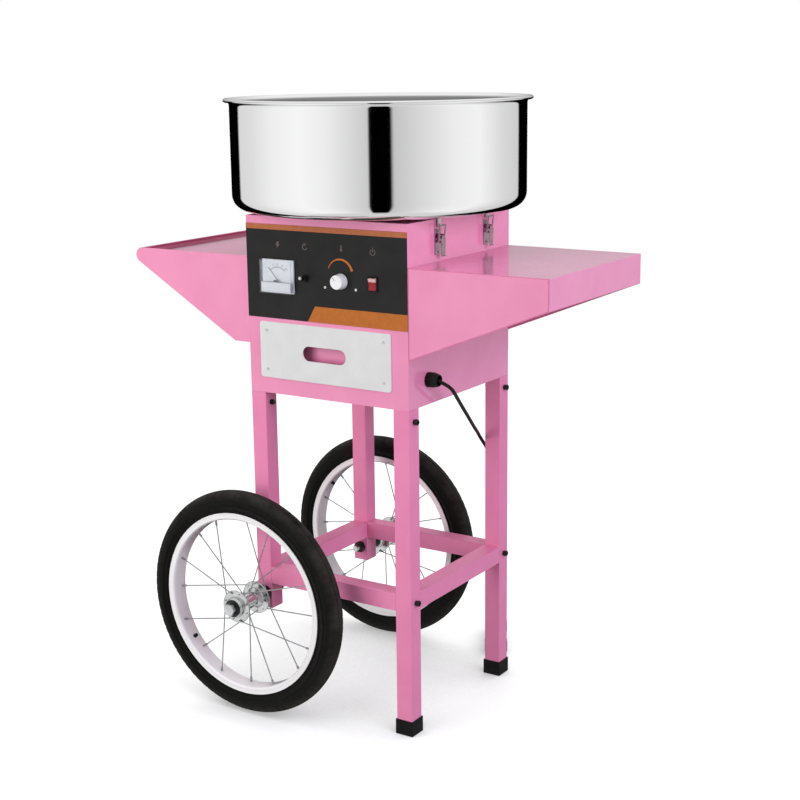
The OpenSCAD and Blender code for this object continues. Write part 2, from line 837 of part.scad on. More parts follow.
module motor_mounts() {
    color(black) for (a = [45:90:315]) rotate([0, 0, a]) translate([mount_pcd, 0, motor_top])
        cylinder(h = mount_h, r = mount_r);
}

module motor_shaft() {
    color(steel) translate([0, 0, motor_z - shaft_tail])
        cylinder(h = shaft_top - motor_z + shaft_tail, r = shaft_r);
}

// Two copper rings on an insulating sleeve, which feed the heater
module slip_rings() {
    z = motor_z - ring_stack;
    color([0.72, 0.45, 0.2]) difference() {
        union() {
            translate([0, 0, z]) cylinder(h = ring_stack - ring_gap, r = ring_core_r);
            for (i = [0, 1]) translate([0, 0, z + ring_gap + i * (ring_h + ring_gap)])
                cylinder(h = ring_h, r = ring_r);
        }
        translate([0, 0, z - overrun]) cylinder(h = ring_stack + 2 * overrun, r = shaft_r);
    }
}

module brush_block() {
    near = ring_r + clear_gap;
    color([0.25, 0.2, 0.15]) span([near, -brush_w / 2, motor_z - ring_stack],
        [near + brush_l, brush_w / 2, motor_z]);
}

// Spinning head
module spinner_base() {
    color(steel) difference() {
        union() {
            translate([0, 0, head_z]) cylinder(h = head_floor, r = head_r);
            translate([0, 0, head_z - hub_drop]) cylinder(h = hub_drop + head_floor + hub_up, r = hub_r);
            for (a = [0:120:240]) rotate([0, 0, a]) translate([post_at, 0, head_z])
                cylinder(h = head_floor + band_h, r = post_r);
        }
        translate([0, 0, head_z - hub_drop - overrun])
            cylinder(h = hub_drop + head_floor + hub_up + 2 * overrun, r = shaft_r);
    }
}

module heater_ring() {
    color([0.45, 0.4, 0.36]) translate([0, 0, head_z + head_floor]) difference() {
        cylinder(h = band_h, r = band_r);
        translate([0, 0, -overrun]) cylinder(h = band_h + 2 * overrun, r = band_r - band_t);
    }
}

module spinner_cap() {
    z = head_z + head_floor + band_h;
    color(steel) difference() {
        union() {
            translate([0, 0, z]) cylinder(h = cap_t, r = head_r);
            translate([0, 0, z]) cylinder(h = cap_t + cap_lip_h, r = cap_hole_r + cap_lip_t);
        }
        translate([0, 0, z - overrun]) cylinder(h = cap_t + cap_lip_h + 2 * overrun, r = cap_hole_r);
    }
}

// Heat control board on four posts from the left wall
board_w = 100;
board_h = 80;
board_t = 1.6;
board_post = 8;
board_y = 70;
board_rise = 180;
board_inset = 8;
sink_w = 40;
sink_h = 50;
sink_out = 20;
relay_out = 16;
relay_w = 28;
relay_h = 20;
module control_board() {
    x = -body_w / 2 + sheet;
    at = [x, board_y, body_z + board_rise];
    color([0.1, 0.35, 0.2]) translate(at) {
        span([board_post, -board_w / 2, -board_h / 2], [board_post + board_t, board_w / 2, board_h / 2]);
        for (y = [-1, 1], z = [-1, 1]) {
            post = [0, y * (board_w / 2 - board_inset), z * (board_h / 2 - board_inset)];
            rod(post, post + [board_post + board_t / 2, 0, 0], board_inset / 2);
        }
        span([board_post, -sink_w, -sink_h / 2], [board_post + board_t + sink_out, 0, sink_h / 2]);
        span([board_post, board_inset, -relay_h / 2],
            [board_post + relay_out, board_inset + relay_w, relay_h / 2]);
    }
}

// Pan: floor with a raised collar, round corner, straight wall and rolled rim
module pan() {
    turn_r = pan_r - pan_corner;
    turn_z = pan_z + pan_corner;
    neck_z = pan_top - rim_h;
    outside = concat([[pan_hole_r, pan_z + pan_collar], [pan_hole_r, pan_z]],
        [for (i = [0:corner_steps]) let (a = -90 + 90 * i / corner_steps)
            [turn_r + pan_corner * cos(a), turn_z + pan_corner * sin(a)]],
        [[pan_r, neck_z], [pan_r + rim_out - bead_r, pan_top - pan_t]]);
    inside = concat([[pan_r + rim_out - bead_r, pan_top], [pan_r - pan_t, neck_z + pan_t]],
        [for (i = [0:corner_steps]) let (a = -90 * i / corner_steps)
            [turn_r + (pan_corner - pan_t) * cos(a), turn_z + (pan_corner - pan_t) * sin(a)]],
        [[pan_hole_r + pan_t, pan_z + pan_t], [pan_hole_r + pan_t, pan_z + pan_collar]]);
    color([0.9, 0.9, 0.91]) {
        rotate_extrude() polygon(concat(outside, inside));
        rotate_extrude() translate([pan_r + rim_out - bead_r, pan_top - bead_r]) circle(r = bead_r);
    }
}

// Puts a child that is drawn for the right side at each latch
module at_latch(spot) {
    mirror([spot[0] < 0 ? 1 : 0, 0, 0]) translate([body_w / 2, spot[1], latch_z]) children();
}

// Hooks under the pan that the latches pull down
module pan_catches() {
    top = pan_z - latch_z;
    color(steel) for (s = latch_spots) at_latch(s) {
        span([catch_out, -catch_half, catch_up], [catch_out + catch_t, catch_half, top]);
        span([catch_out, -catch_half, catch_up], [catch_out + catch_reach, catch_half, catch_up + catch_t]);
        span([catch_out, -catch_half, top - catch_t], [catch_out + catch_reach, catch_half, top]);
    }
}

module pan_seat() {
    color(black) translate([0, 0, body_top]) difference() {
        cylinder(h = seat_h, r = seat_r);
        translate([0, 0, -overrun]) cylinder(h = seat_h + 2 * overrun, r = seat_r - seat_t);
    }
}

// Latches
module latch_bases() {
    color(steel) for (s = latch_spots) at_latch(s) {
        span([0, -latch_w / 2, 0], [latch_t, latch_w / 2, latch_h]);
        for (side = [-1, 1]) {
            lo = side > 0 ? ear_half - ear_t : -ear_half;
            span([0, lo, pin_up - ear_r], [pin_out, lo + ear_t, pin_up + ear_r]);
            bar_y(pin_out, pin_up, lo, lo + ear_t, ear_r);
        }
        bar_y(pin_out, pin_up, -ear_half, ear_half, pin_r);
    }
}

module latch_lever(i) {
    color(steel) at_latch(latch_spots[i]) difference() {
        union() {
            bar_y(pin_out, pin_up, -knuckle_half, knuckle_half, knuckle_r);
            span([pin_out, -knuckle_half, lever_up - lever_t],
                [lever_out + lever_t / 2, knuckle_half, pin_up + pin_r]);
            bar_y(bail_out, bail_up, -lug_half, lug_half, lug_r);
            span([bail_out, -lug_half, bail_up - bail_r],
                [lever_out + lever_t / 2, lug_half, bail_up + bail_r]);
            translate([lever_out, 0, 0]) rotate([90, 0, 90]) linear_extrude(height = lever_t)
                polygon([[-lever_tip_half, -lever_down], [lever_tip_half, -lever_down],
                    [lever_top_half, lever_up], [-lever_top_half, lever_up]]);
            span([lever_out, -lever_tip_half, -lever_down],
                [lever_out + lever_curl, lever_tip_half, lever_t - lever_down]);
        }
        bar_y(pin_out, pin_up, -ear_half, ear_half, pin_r + run_gap);
        bar_y(bail_out, bail_up, -ear_half, ear_half, bail_r + run_gap);
    }
}

module latch_lever_fr() { latch_lever(0); }
module latch_lever_rr() { latch_lever(1); }
module latch_lever_fl() { latch_lever(2); }
module latch_lever_rl() { latch_lever(3); }

module latch_bail(i) {
    foot = [bail_out, 0, bail_up];
    bar = [bail_bar_out, 0, bail_bar_up];
    side = [0, bail_half, 0];
    color(steel) at_latch(latch_spots[i]) {
        rod(foot - side, foot + side, bail_r);
        rod(bar - side, bar + side, bail_r);
        for (end = [foot - side, bar - side, foot + side, bar + side]) translate(end) sphere(r = bail_r);
        rod(foot - side, bar - side, bail_r);
        rod(foot + side, bar + side, bail_r);
    }
}

module latch_bail_fr() { latch_bail(0); }
module latch_bail_rr() { latch_bail(1); }
module latch_bail_fl() { latch_bail(2); }
module latch_bail_rl() { latch_bail(3); }

// Frame
module leg(x, y, foot_z) {
    lo = [x * leg_x - tube / 2, y * leg_y - tube / 2, foot_z];
    difference() {
        square_tube(lo, lo + [tube, tube, body_z - foot_z], 2);
        for (z = [top_bolt_z, low_bolt_z])
            rod([x * leg_x - tube, y * leg_y, z], [x * leg_x + tube, y * leg_y, z], bolt_d / 2 + slip_gap);
        if (x < 0) bar_y(x * leg_x, axle_z, y * leg_y - tube, y * leg_y + tube, axle_r + slip_gap);
    }
}

module short_legs() { color(pink) for (y = [-1, 1]) leg(-1, y, short_leg_z); }

module long_legs() { color(pink) for (y = [-1, 1]) leg(1, y, foot_floor); }

module stretchers() {
    in_x = leg_x - tube / 2;
    in_y = leg_y - tube / 2;
    top = stretcher_z + tube;
    color(pink) {
        for (y = [-1, 1]) translate([0, y * leg_y, 0]) {
            square_tube([-in_x, -tube / 2, stretcher_z], [in_x, tube / 2, top], 0);
            for (x = [-1, 1]) difference() {
                translate([x * (in_x - stretcher_end / 2), 0, 0])
                    span([-stretcher_end / 2, -tube / 2, stretcher_z], [stretcher_end / 2, tube / 2, top]);
                rod([x * in_x - tube, 0, low_bolt_z], [x * in_x + tube, 0, low_bolt_z],
                    bolt_d / 2 + slip_gap);
            }
        }
        for (x = [-1, 1]) translate([x * leg_x, 0, 0])
            square_tube([-tube / 2, -in_y, stretcher_z], [tube / 2, in_y, top], 1);
    }
}

// Bolts through the legs into the posts and stretchers, and through the trays into the box
module frame_bolts() {
    color(black) {
        for (x = [-1, 1], y = [-1, 1]) mirror([x < 0 ? 1 : 0, 0, 0]) {
            translate([body_w / 2, y * leg_y, top_bolt_z]) frame_bolt(tube);
            translate([body_w / 2, y * leg_y, low_bolt_z]) frame_bolt(tube + stretcher_end);
        }
        for (s = tray_bolt_spots) mirror([s[0] < 0 ? 1 : 0, 0, 0])
            translate([body_w / 2 + sheet, s[1], tray_z - s[2]]) frame_bolt(2 * sheet);
    }
}

module rubber_feet() {
    out = tube / 2 + foot_wall;
    color(black) for (y = [-1, 1]) translate([leg_x, y * leg_y, 0]) difference() {
        span([-out, -out, 0], [out, out, foot_h]);
        span([-tube / 2, -tube / 2, foot_floor], [tube / 2, tube / 2, foot_h + overrun]);
    }
}

// Trays
module tray_flanges(height) {
    for (y = [-1, 1]) mirror([0, y < 0 ? 1 : 0, 0]) difference() {
        span([body_w / 2, -front_y - sheet - tray_flange, tray_z - height + flange_margin],
            [body_w / 2 + sheet, -front_y, tray_z - left_recess]);
        for (drop = [tray_bolt_hi, tray_bolt_lo])
            rod([body_w / 2 - overrun, tray_bolt_y, tray_z - drop],
                [body_w / 2 + sheet + overrun, tray_bolt_y, tray_z - drop], bolt_d / 2 + slip_gap);
    }
}

// Flat-topped tray with a deep end and a sloping gusset front and back
module right_tray() {
    near = body_w / 2;
    far = near + tray_l;
    color(pink) {
        span([near, front_y, tray_z - sheet], [far, -front_y, tray_z]);
        span([far - sheet, front_y, tray_z - end_h], [far, -front_y, tray_z]);
        for (y = [front_y + sheet, -front_y]) translate([0, y, 0]) rotate([90, 0, 0])
            linear_extrude(height = sheet)
                polygon([[near, tray_z], [far, tray_z], [far, tray_z - end_h], [near, tray_z - right_h]]);
        tray_flanges(right_h);
    }
}

// Shallow tray with a round nose, drawn on the right and mirrored to the left
module left_tray() {
    near = body_w / 2;
    nose_z = tray_z - nose_r;
    low = tray_z - left_h;
    knee = near + left_foot;
    slope = atan2(nose_z - low, nose_x - knee) - asin(nose_r / norm([nose_x - knee, nose_z - low]));
    nose_steps = 10;
    nose = [for (i = [0:nose_steps]) let (a = 90 - (180 - slope) * i / nose_steps)
        [nose_x + nose_r * cos(a), nose_z + nose_r * sin(a)]];
    color(pink) mirror([1, 0, 0]) {
        span([near, front_y, tray_z - left_recess - sheet],
            [nose_x + nose_r - sheet, -front_y, tray_z - left_recess]);
        for (y = [front_y + sheet, -front_y]) translate([0, y, 0]) rotate([90, 0, 0])
            linear_extrude(height = sheet)
                polygon(concat([[near, tray_z]], nose, [[knee, low], [near, low]]));
        difference() {
            bar_y(nose_x, nose_z, front_y, -front_y, nose_r);
            bar_y(nose_x, nose_z, front_y - overrun, -front_y + overrun, nose_r - sheet);
            span([nose_x - 2 * nose_r, front_y - overrun, nose_z - 2 * nose_r],
                [nose_x, -front_y + overrun, nose_z + 2 * nose_r]);
        }
        tray_flanges(left_h);
    }
}

// Wheels, drawn with the axle along Z
module at_wheel(side) {
    translate([-leg_x, side * wheel_y, axle_z]) rotate([-90, 0, 0]) children();
}

module tyre(side) {
    arc = [for (i = [0:tyre_arc_steps]) let (a = (180 - tyre_arc) * (2 * i / tyre_arc_steps - 1))
        [tyre_mid_r + tyre_arc_r * cos(a), tyre_w / 2 * sin(a)]];
    color(black) at_wheel(side) rotate_extrude($fn = 96)
        polygon(concat([[bed_r, -bead_half]], arc, [[bed_r, bead_half]]));
}

module rim(side) {
    color(white) at_wheel(side) rotate_extrude($fn = 96)
        polygon([[bed_r - rim_t, -rim_w / 2 + rim_t], [bed_r, -rim_w / 2], [lip_r, -rim_w / 2],
            [lip_r, -bead_half], [bed_r, -bead_half], [bed_r, bead_half], [lip_r, bead_half],
            [lip_r, rim_w / 2], [bed_r, rim_w / 2], [bed_r - rim_t, rim_w / 2 - rim_t]]);
}

// Spokes that lead and trail by turns, with bent heads through the hub and nipples at the rim
module spokes(side) {
    color(steel) at_wheel(side) for (i = [0:spoke_count - 1]) {
        flank = i % 2 == 0 ? 1 : -1;
        lead = floor(i / 2) % 2 == 0 ? 1 : -1;
        at_rim = 360 * i / spoke_count;
        at_hub = at_rim + lead * spoke_turn;
        hub_end = [spoke_hole_at * cos(at_hub), spoke_hole_at * sin(at_hub),
            flank * (flange_at + (lead > 0 ? spoke_out : -spoke_in))];
        rim_in = bed_r - rim_t;
        rim_end = [rim_in * cos(at_rim), rim_in * sin(at_rim), flank * spoke_rim_side];
        way = unit(rim_end - hub_end);
        rod(hub_end, rim_end, spoke_d / 2);
        rod(rim_end - nipple_l * way, rim_end + spoke_sink * way, nipple_r);
        rod(hub_end, hub_end - [0, 0, flank * lead * (spoke_in + spoke_out)], spoke_d / 2);
        translate(hub_end) sphere(r = spoke_d / 2);
    }
}

module hub(side) {
    half = flange_t / 2;
    right = [[axle_r + run_gap, hub_half], [hub_end_r - flange_t, hub_half], [hub_end_r, hub_half - flange_t],
        [hub_end_r, flange_at + half], [flange_r - half, flange_at + half],
        [flange_r, flange_at + half / 2], [flange_r, flange_at - half / 2],
        [flange_r - half, flange_at - half],
        [hub_end_r, flange_at - half], [hub_core_r, flange_at - 4 * flange_t]];
    color(steel) at_wheel(side) difference() {
        rotate_extrude() polygon(concat(right,
            [for (i = [len(right) - 1:-1:0]) [right[i].x, -right[i].y]]));
        for (i = [0:spoke_count - 1]) {
            flank = i % 2 == 0 ? 1 : -1;
            lead = floor(i / 2) % 2 == 0 ? 1 : -1;
            rotate([0, 0, 360 * i / spoke_count + lead * spoke_turn])
                translate([spoke_hole_at, 0, flank * flange_at - flange_t])
                    cylinder(h = 2 * flange_t, r = spoke_d / 2 + slip_gap);
        }
    }
}

module front_tyre() { tyre(-1); }
module front_rim() { rim(-1); }
module front_spokes() { spokes(-1); }
module front_hub() { hub(-1); }
module rear_tyre() { tyre(1); }
module rear_rim() { rim(1); }
module rear_spokes() { spokes(1); }
module rear_hub() { hub(1); }

// Axle bolts: head outside the hub, thread through the wheel leg
module axle_bolts() {
    head_y = hub_out_y + axle_washer_t;
    color(steel) for (side = [-1, 1]) mirror([0, side > 0 ? 0 : 1, 0]) translate([-leg_x, 0, axle_z]) {
        bar_y(0, 0, -front_y - tube - axle_tail, head_y + axle_head_h / 2, axle_r);
        translate([0, head_y, 0]) rotate([-90, 0, 0])
            cylinder(h = axle_head_h, r = axle_head_r, $fn = 6);
    }
}

module ring_y(a, b, r) {
    difference() {
        bar_y(0, 0, a, b, r);
        bar_y(0, 0, a - overrun, b + overrun, axle_r);
    }
}

// Washer, spacer and nut on each axle bolt
module axle_fittings() {
    leg_in = -front_y - tube;
    color(black) for (side = [-1, 1]) mirror([0, side > 0 ? 0 : 1, 0]) translate([-leg_x, 0, axle_z]) {
        ring_y(hub_out_y + clear_gap, hub_out_y + axle_washer_t, axle_washer_r);
        ring_y(-front_y, hub_in_y - clear_gap, axle_spacer_r);
        difference() {
            translate([0, leg_in - axle_nut_h, 0]) rotate([-90, 0, 0])
                cylinder(h = axle_nut_h, r = axle_head_r, $fn = 6);
            bar_y(0, 0, leg_in - axle_nut_h - overrun, leg_in + overrun, axle_r);
        }
    }
}

// Mains lead
module cable_gland() {
    x = body_w / 2;
    color(black) translate([x, gland_y, gland_z]) rotate([0, 90, 0]) difference() {
        union() {
            cylinder(h = gland_nut_h, r = gland_nut_r);
            translate([0, 0, gland_nut_h]) cylinder(h = gland_nose_l, r1 = gland_nut_r, r2 = gland_nose_r);
            translate([0, 0, -sheet]) cylinder(h = sheet + gland_nut_h / 2, r = gland_neck_r);
            translate([0, 0, -sheet - gland_lock_h])
                cylinder(h = gland_lock_h, r = gland_nut_r, $fn = 6);
        }
        translate([0, 0, gland_bore_at])
            cylinder(h = gland_l - gland_bore_at + overrun, r1 = cord_r + gland_bore_play,
                r2 = gland_mouth_r);
    }
}

// A smooth curve through the route's points
gland_tip = [body_w / 2 + gland_bore_at, gland_y, gland_z];
gland_shift = gland_tip - cord_route[0];
leg_shift = [leg_x, leg_y, 0] - route_leg;
function gland_share(i) = 1 - ease((i - route_from) / route_span);
route = [for (i = [0:route_last])
    cord_route[i] + gland_share(i) * gland_shift + (1 - gland_share(i)) * leg_shift];
function route_at(i, u) = let (a = route[max(0, i - 1)], b = route[i], c = route[i + 1],
    d = route[min(route_last, i + 2)])
    b + u * ((c - a) / 2 + u * ((2 * a - 5 * b + 4 * c - d) / 2 + u * (3 * b - 3 * c + d - a) / 2));
cord_points = concat([for (i = [0:route_last - 1], j = [0:route_steps - 1])
    route_at(i, j / route_steps)], [route[route_last]]);
hank_way = [cos(hank_turn), sin(hank_turn), 0];

module power_cord() {
    across = [sin(hank_turn), -cos(hank_turn), 0];
    color(black) swept_tube(cord_points, cord_r, 8, across, [1, 0, 0], hank_way);
}

// The hank: loops laid down from the top layer, then a tail that lifts to the plug
function hank_level(k) = cord_r + (hank_layers - 1 - k) * hank_pitch;
function hank_half(u) = hank_fold_r - hank_waist * (1 - cos(360 * u)) / 2;
function hank_loop(k) = concat(
    [for (j = [0:run_steps - 1]) let (u = j / run_steps) [hank_run * u, hank_half(u), hank_level(k)]],
    [for (j = [0:fold_steps]) let (a = 180 * j / fold_steps)
        [hank_run + hank_fold_r * sin(a), hank_fold_r * cos(a), hank_level(k)]],
    [for (j = [1:run_steps - 1]) let (u = 1 - j / run_steps)
        [hank_run * u, -hank_half(u), hank_level(k) - hank_pitch * ease(j / run_steps)]],
    [for (j = [0:fold_steps - 1]) let (a = 180 * j / fold_steps)
        [-hank_fold_r * sin(a), -hank_fold_r * cos(a), hank_level(k + 1)]]);
hank_end = hank_run + tail_l + cord_d;
hank_path = concat([[-cord_d, hank_fold_r, hank_level(0)]],
    [for (k = [0:hank_layers - 2]) each hank_loop(k)],
    [for (j = [0:run_steps - 1]) let (u = j / run_steps)
        [hank_run * u, hank_half(u), hank_level(hank_layers - 1)]],
    [for (j = [0:tail_steps]) let (s = tail_l * j / tail_steps)
        [hank_run + s, hank_fold_r * (1 - ease(s / tail_bend)),
            cord_r + (plug_r - cord_r) * ease((s - tail_lift_from) / (tail_l - tail_lift_from))]],
    [[hank_end, 0, plug_r]]);
hank_at = route[route_last] + [0, 0, -hank_level(0)]
    + cord_d * hank_way - hank_fold_r * [-sin(hank_turn), cos(hank_turn), 0];
apart = ceil(run_steps + fold_steps);
hank_gap = min([for (i = [0:len(hank_path) - 1], j = [i + apart:1:len(hank_path) - 1])
    norm(hank_path[i] - hank_path[j])]) - cord_d;
echo(hank_least_gap = hank_gap);

module cord_hank() {
    color(black) translate(hank_at) rotate([0, 0, hank_turn])
        swept_tube(hank_path, cord_r, 6, [0, 0, 1], [1, 0, 0], [1, 0, 0]);
}

// Moulded plug that lies on the floor behind the hank
module plug() {
    flats = plug_r / cos(180 / 8);
    color(black) translate(hank_at + [0, 0, plug_r]) rotate([0, 0, hank_turn]) translate([hank_end, 0, 0])
        rotate([0, 90, 0]) {
            cylinder(h = boot_l, r1 = boot_tip_r, r2 = boot_foot_r);
            translate([0, 0, boot_l]) rotate([0, 0, 180 / 8]) cylinder(h = plug_l, r = flats, $fn = 8);
            for (y = [-1, 1]) translate([0, y * blade_gap / 2, boot_l + plug_l])
                span([-blade_w / 2, -blade_t / 2, -overrun], [blade_w / 2, blade_t / 2, blade_l]);
            translate([blade_gap / 2, 0, boot_l + plug_l]) cylinder(h = blade_l, r = earth_r);
        }
}

casing();
base_plate();
rear_cover();
rear_screws();
control_fascia();
meter_case();
meter_cover();
meter_needle();
toggle_body();
toggle_lever();
pot_body();
control_knob();
rocker_housing();
rocker_button();
drawer_runners();
drawer_box();
drawer_front();
drawer_screws();
motor();
motor_mounts();
motor_shaft();
slip_rings();
brush_block();
spinner_base();
heater_ring();
spinner_cap();
control_board();
pan();
pan_catches();
pan_seat();
latch_bases();
latch_lever_fr();
latch_lever_rr();
latch_lever_fl();
latch_lever_rl();
latch_bail_fr();
latch_bail_rr();
latch_bail_fl();
latch_bail_rl();
short_legs();
long_legs();
stretchers();
frame_bolts();
rubber_feet();
left_tray();
right_tray();
front_tyre();
front_rim();
front_spokes();
front_hub();
rear_tyre();
rear_rim();
rear_spokes();
rear_hub();
axle_bolts();
axle_fittings();
cable_gland();
power_cord();
cord_hank();
plug();
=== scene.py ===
from math import cos, pi, radians, sin, tan

import bpy
from mathutils import Matrix, Quaternion, Vector


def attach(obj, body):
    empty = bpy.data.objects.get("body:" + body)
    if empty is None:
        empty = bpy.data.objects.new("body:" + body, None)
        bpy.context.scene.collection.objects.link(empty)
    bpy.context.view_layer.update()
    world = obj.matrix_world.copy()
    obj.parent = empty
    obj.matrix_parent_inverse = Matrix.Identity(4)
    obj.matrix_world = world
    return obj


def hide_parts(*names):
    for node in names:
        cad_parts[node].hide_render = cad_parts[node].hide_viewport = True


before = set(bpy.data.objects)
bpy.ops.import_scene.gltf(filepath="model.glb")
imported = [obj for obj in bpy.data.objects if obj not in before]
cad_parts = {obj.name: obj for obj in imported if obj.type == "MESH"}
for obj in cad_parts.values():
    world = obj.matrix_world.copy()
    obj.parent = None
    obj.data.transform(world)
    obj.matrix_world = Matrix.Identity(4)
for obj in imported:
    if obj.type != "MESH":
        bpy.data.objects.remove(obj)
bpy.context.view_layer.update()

# Camera: a still camera with a 68 mm lens on a full frame, at the height of the pan's rim, to the
# right of the cart's front. It leans by less than a degree, as a hand-set tripod does.
MM = 0.001
eye = Vector((1.42508, -2.14354, 1.12639))
aim = Vector((0.0362, 0.0003, 0.5371))
bpy.ops.object.select_all(action="DESELECT")
bpy.ops.object.camera_add(location=eye)
camera = bpy.context.object
camera.name = "still_camera"
camera.data.lens = 67.68
camera.data.sensor_width = 36.0
camera.rotation_mode = "QUATERNION"
camera.rotation_quaternion = (aim - eye).to_track_quat("-Z", "Y") @ Quaternion((0, 0, 1), radians(-0.68))
bpy.context.scene.camera = camera
bpy.context.scene.view_settings.view_transform = "Standard"


# Mains lead: three cores in a round black sheath of 6 mm, clamped in the gland at the box's side. It
# drops behind the right rear leg and lies there in a hank of four layers, with its plug.
def through(points, steps):
    """A smooth line through the given points, with some steps between each two."""
    last = len(points) - 1
    line = []
    for i in range(last):
        a, b, c, d = (Vector(points[max(0, min(last, k))]) for k in (i - 1, i, i + 1, i + 2))
        for j in range(steps):
            u = j / steps
            line.append(b + u * ((c - a) / 2 + u * ((2 * a - 5 * b + 4 * c - d) / 2
                                                    + u * (3 * b - 3 * c + d - a) / 2)))
    return line + [Vector(points[last])]


def ease(u):
    return (1 - cos(pi * max(0.0, min(1.0, u)))) / 2


def new_finish(name, **sockets):
    """A material whose shader's plain numbers and colours are set on its own sockets."""
    finish = bpy.data.materials.new(name)
    finish.use_nodes = True
    skin = finish.node_tree.nodes["Principled BSDF"]
    for socket, value in sockets.items():
        skin.inputs[socket.replace("_", " ")].default_value = value
    return finish


def mottle(finish, size, detail=2.0, stretch=(1, 1, 1)):
    """A cloudy pattern on a finish, whose clouds are about so many millimetres across."""
    nodes, links = finish.node_tree.nodes, finish.node_tree.links
    place = nodes.new("ShaderNodeMapping")
    place.inputs["Scale"].default_value = stretch
    clouds = nodes.new("ShaderNodeTexNoise")
    clouds.inputs["Scale"].default_value = 1 / (size * MM)
    clouds.inputs["Detail"].default_value = detail
    links.new(nodes.new("ShaderNodeTexCoord").outputs["Object"], place.inputs["Vector"])
    links.new(place.outputs["Vector"], clouds.inputs["Vector"])
    return clouds.outputs["Fac"]


def tint(finish, pattern, low, high, at=(0.35, 0.65)):
    """Runs the finish's colour from one to another along a pattern."""
    nodes, links = finish.node_tree.nodes, finish.node_tree.links
    ramp = nodes.new("ShaderNodeValToRGB")
    for stop, place, colour in zip(ramp.color_ramp.elements, at, (low, high)):
        stop.position = place
        stop.color = (*colour, 1)
    links.new(pattern, ramp.inputs["Fac"])
    links.new(ramp.outputs["Color"], nodes["Principled BSDF"].inputs["Base Color"])


def ranged(finish, value, start, end, low=0.0, high=1.0):
    """Runs from low to high while a value runs from its start to its end."""
    scale = finish.node_tree.nodes.new("ShaderNodeMapRange")
    for socket, number in zip(("From Min", "From Max", "To Min", "To Max"), (start, end, low, high)):
        scale.inputs[socket].default_value = number
    finish.node_tree.links.new(value, scale.inputs["Value"])
    return scale.outputs["Result"]


def polish(finish, pattern, low, high):
    """Runs the finish's roughness from one value to another along a pattern."""
    rough = finish.node_tree.nodes["Principled BSDF"].inputs["Roughness"]
    finish.node_tree.links.new(ranged(finish, pattern, 0.3, 0.7, low, high), rough)


def relief(finish, pattern, depth, coat=False):
    """Raises the finish along a pattern by so many millimetres, over any relief that it has."""
    nodes, links = finish.node_tree.nodes, finish.node_tree.links
    bump = nodes.new("ShaderNodeBump")
    bump.inputs["Distance"].default_value = depth * MM
    links.new(pattern, bump.inputs["Height"])
    normal = nodes["Principled BSDF"].inputs["Normal"]
    if normal.is_linked:
        links.new(normal.links[0].from_socket, bump.inputs["Normal"])
    links.new(bump.outputs["Normal"], normal)
    if coat:
        links.new(bump.outputs["Normal"], nodes["Principled BSDF"].inputs["Coat Normal"])


def cloudy(name, colour, rough, bump=None, **sockets):
    """A finish with clouds in its colour, roughness and relief. Each gives its clouds' size and detail,
    and then what it runs between, or how deep it is."""
    finish = new_finish(name, **sockets)
    for change, (size, detail, *span) in ((tint, colour), (polish, rough), (relief, bump or (0, 0))):
        if span:
            change(finish, mottle(finish, size, detail), *span)
    return finish


def only(piece):
    """Takes one piece in hand, and lets go of all others."""
    bpy.ops.object.select_all(action="DESELECT")
    piece.select_set(True)
    bpy.context.view_layer.objects.active = piece


def fitted(piece, finish, body="frame", stands_for=()):
    """Gives a finished piece its material, and fixes it to its body."""
    piece.data.materials.clear()
    piece.data.materials.append(finish)
    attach(piece, body)
    if stands_for:
        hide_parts(*stands_for)
    return piece


sheath = cloudy("lead_sheath", (25, 3, (0.006, 0.006, 0.006), (0.012, 0.012, 0.011)), (4, 4, 0.38, 0.55),
                (0.9, 1, 0.03), Specular_IOR_Level=0.18)

lead_drop = [
    (166, -105, 607), (174, -104.2, 606.2), (181.4, -101.8, 603.9), (187.6, -98.1, 600.3),
    (192.1, -93.3, 595.7), (194.6, -87.8, 590.4), (194.9, -82.7, 585.4), (191.5, -62, 567.2),
    (185.5, -38, 549), (176.5, -8, 529), (164, 26, 509), (151, 60, 490), (138.5, 93, 472),
    (127.5, 121, 456), (119.5, 147, 439.3), (114.3, 168, 423.6), (110.4, 179, 408), (107.6, 185.5, 386),
    (106.2, 187.6, 360), (105.8, 187.8, 330), (105.8, 187.8, 290), (105.8, 187.8, 240), (105.8, 187.8, 190),
    (105.8, 187.8, 140), (105.8, 187.8, 95), (105.8, 187.8, 51.7), (103.7, 190.9, 37.7), (97.9, 199.3, 27.5),
    (90.3, 211.2, 23.7), (85.1, 219.7, 23.7)]
run, fold, lead_r, plug_high, layers, cuts = 95, 18.6, 3.1, 13, 4, 6
pitch = (lead_drop[-1][2] - lead_r) / (layers - 1)


def hank_level(k):
    return lead_r + (layers - 1 - k) * pitch


def hank_half(u):
    return fold - (1 - cos(2 * pi * u))


hank = []
for k in range(layers - 1):
    high = hank_level(k)
    hank += [(run * j / cuts, hank_half(j / cuts), high) for j in range(cuts)]
    hank += [(run + fold * sin(pi * j / cuts), fold * cos(pi * j / cuts), high) for j in range(cuts + 1)]
    hank += [(run * (1 - j / cuts), -hank_half(1 - j / cuts), high - pitch * ease(j / cuts))
             for j in range(1, cuts)]
    hank += [(-fold * sin(pi * j / cuts), -fold * cos(pi * j / cuts), high - pitch) for j in range(cuts)]
hank += [(run * j / cuts, hank_half(j / cuts), lead_r) for j in range(cuts)]
hank += [(run + s, fold * (1 - ease(s / 60)), lead_r + (plug_high - lead_r) * ease((s - 24) / 60))
         for s in range(0, 96, 12)]
hank_end = run + 90.2
hank.append((hank_end, 0, plug_high))
hank_turn = Matrix.Rotation(radians(119), 4, "Z")
hank_foot = (Vector(lead_drop[-1]) - Vector((0, 0, hank_level(0)))
             + hank_turn @ Vector((2 * lead_r, -fold, 0)))
hank_place = Matrix.Translation(hank_foot * MM) @ hank_turn

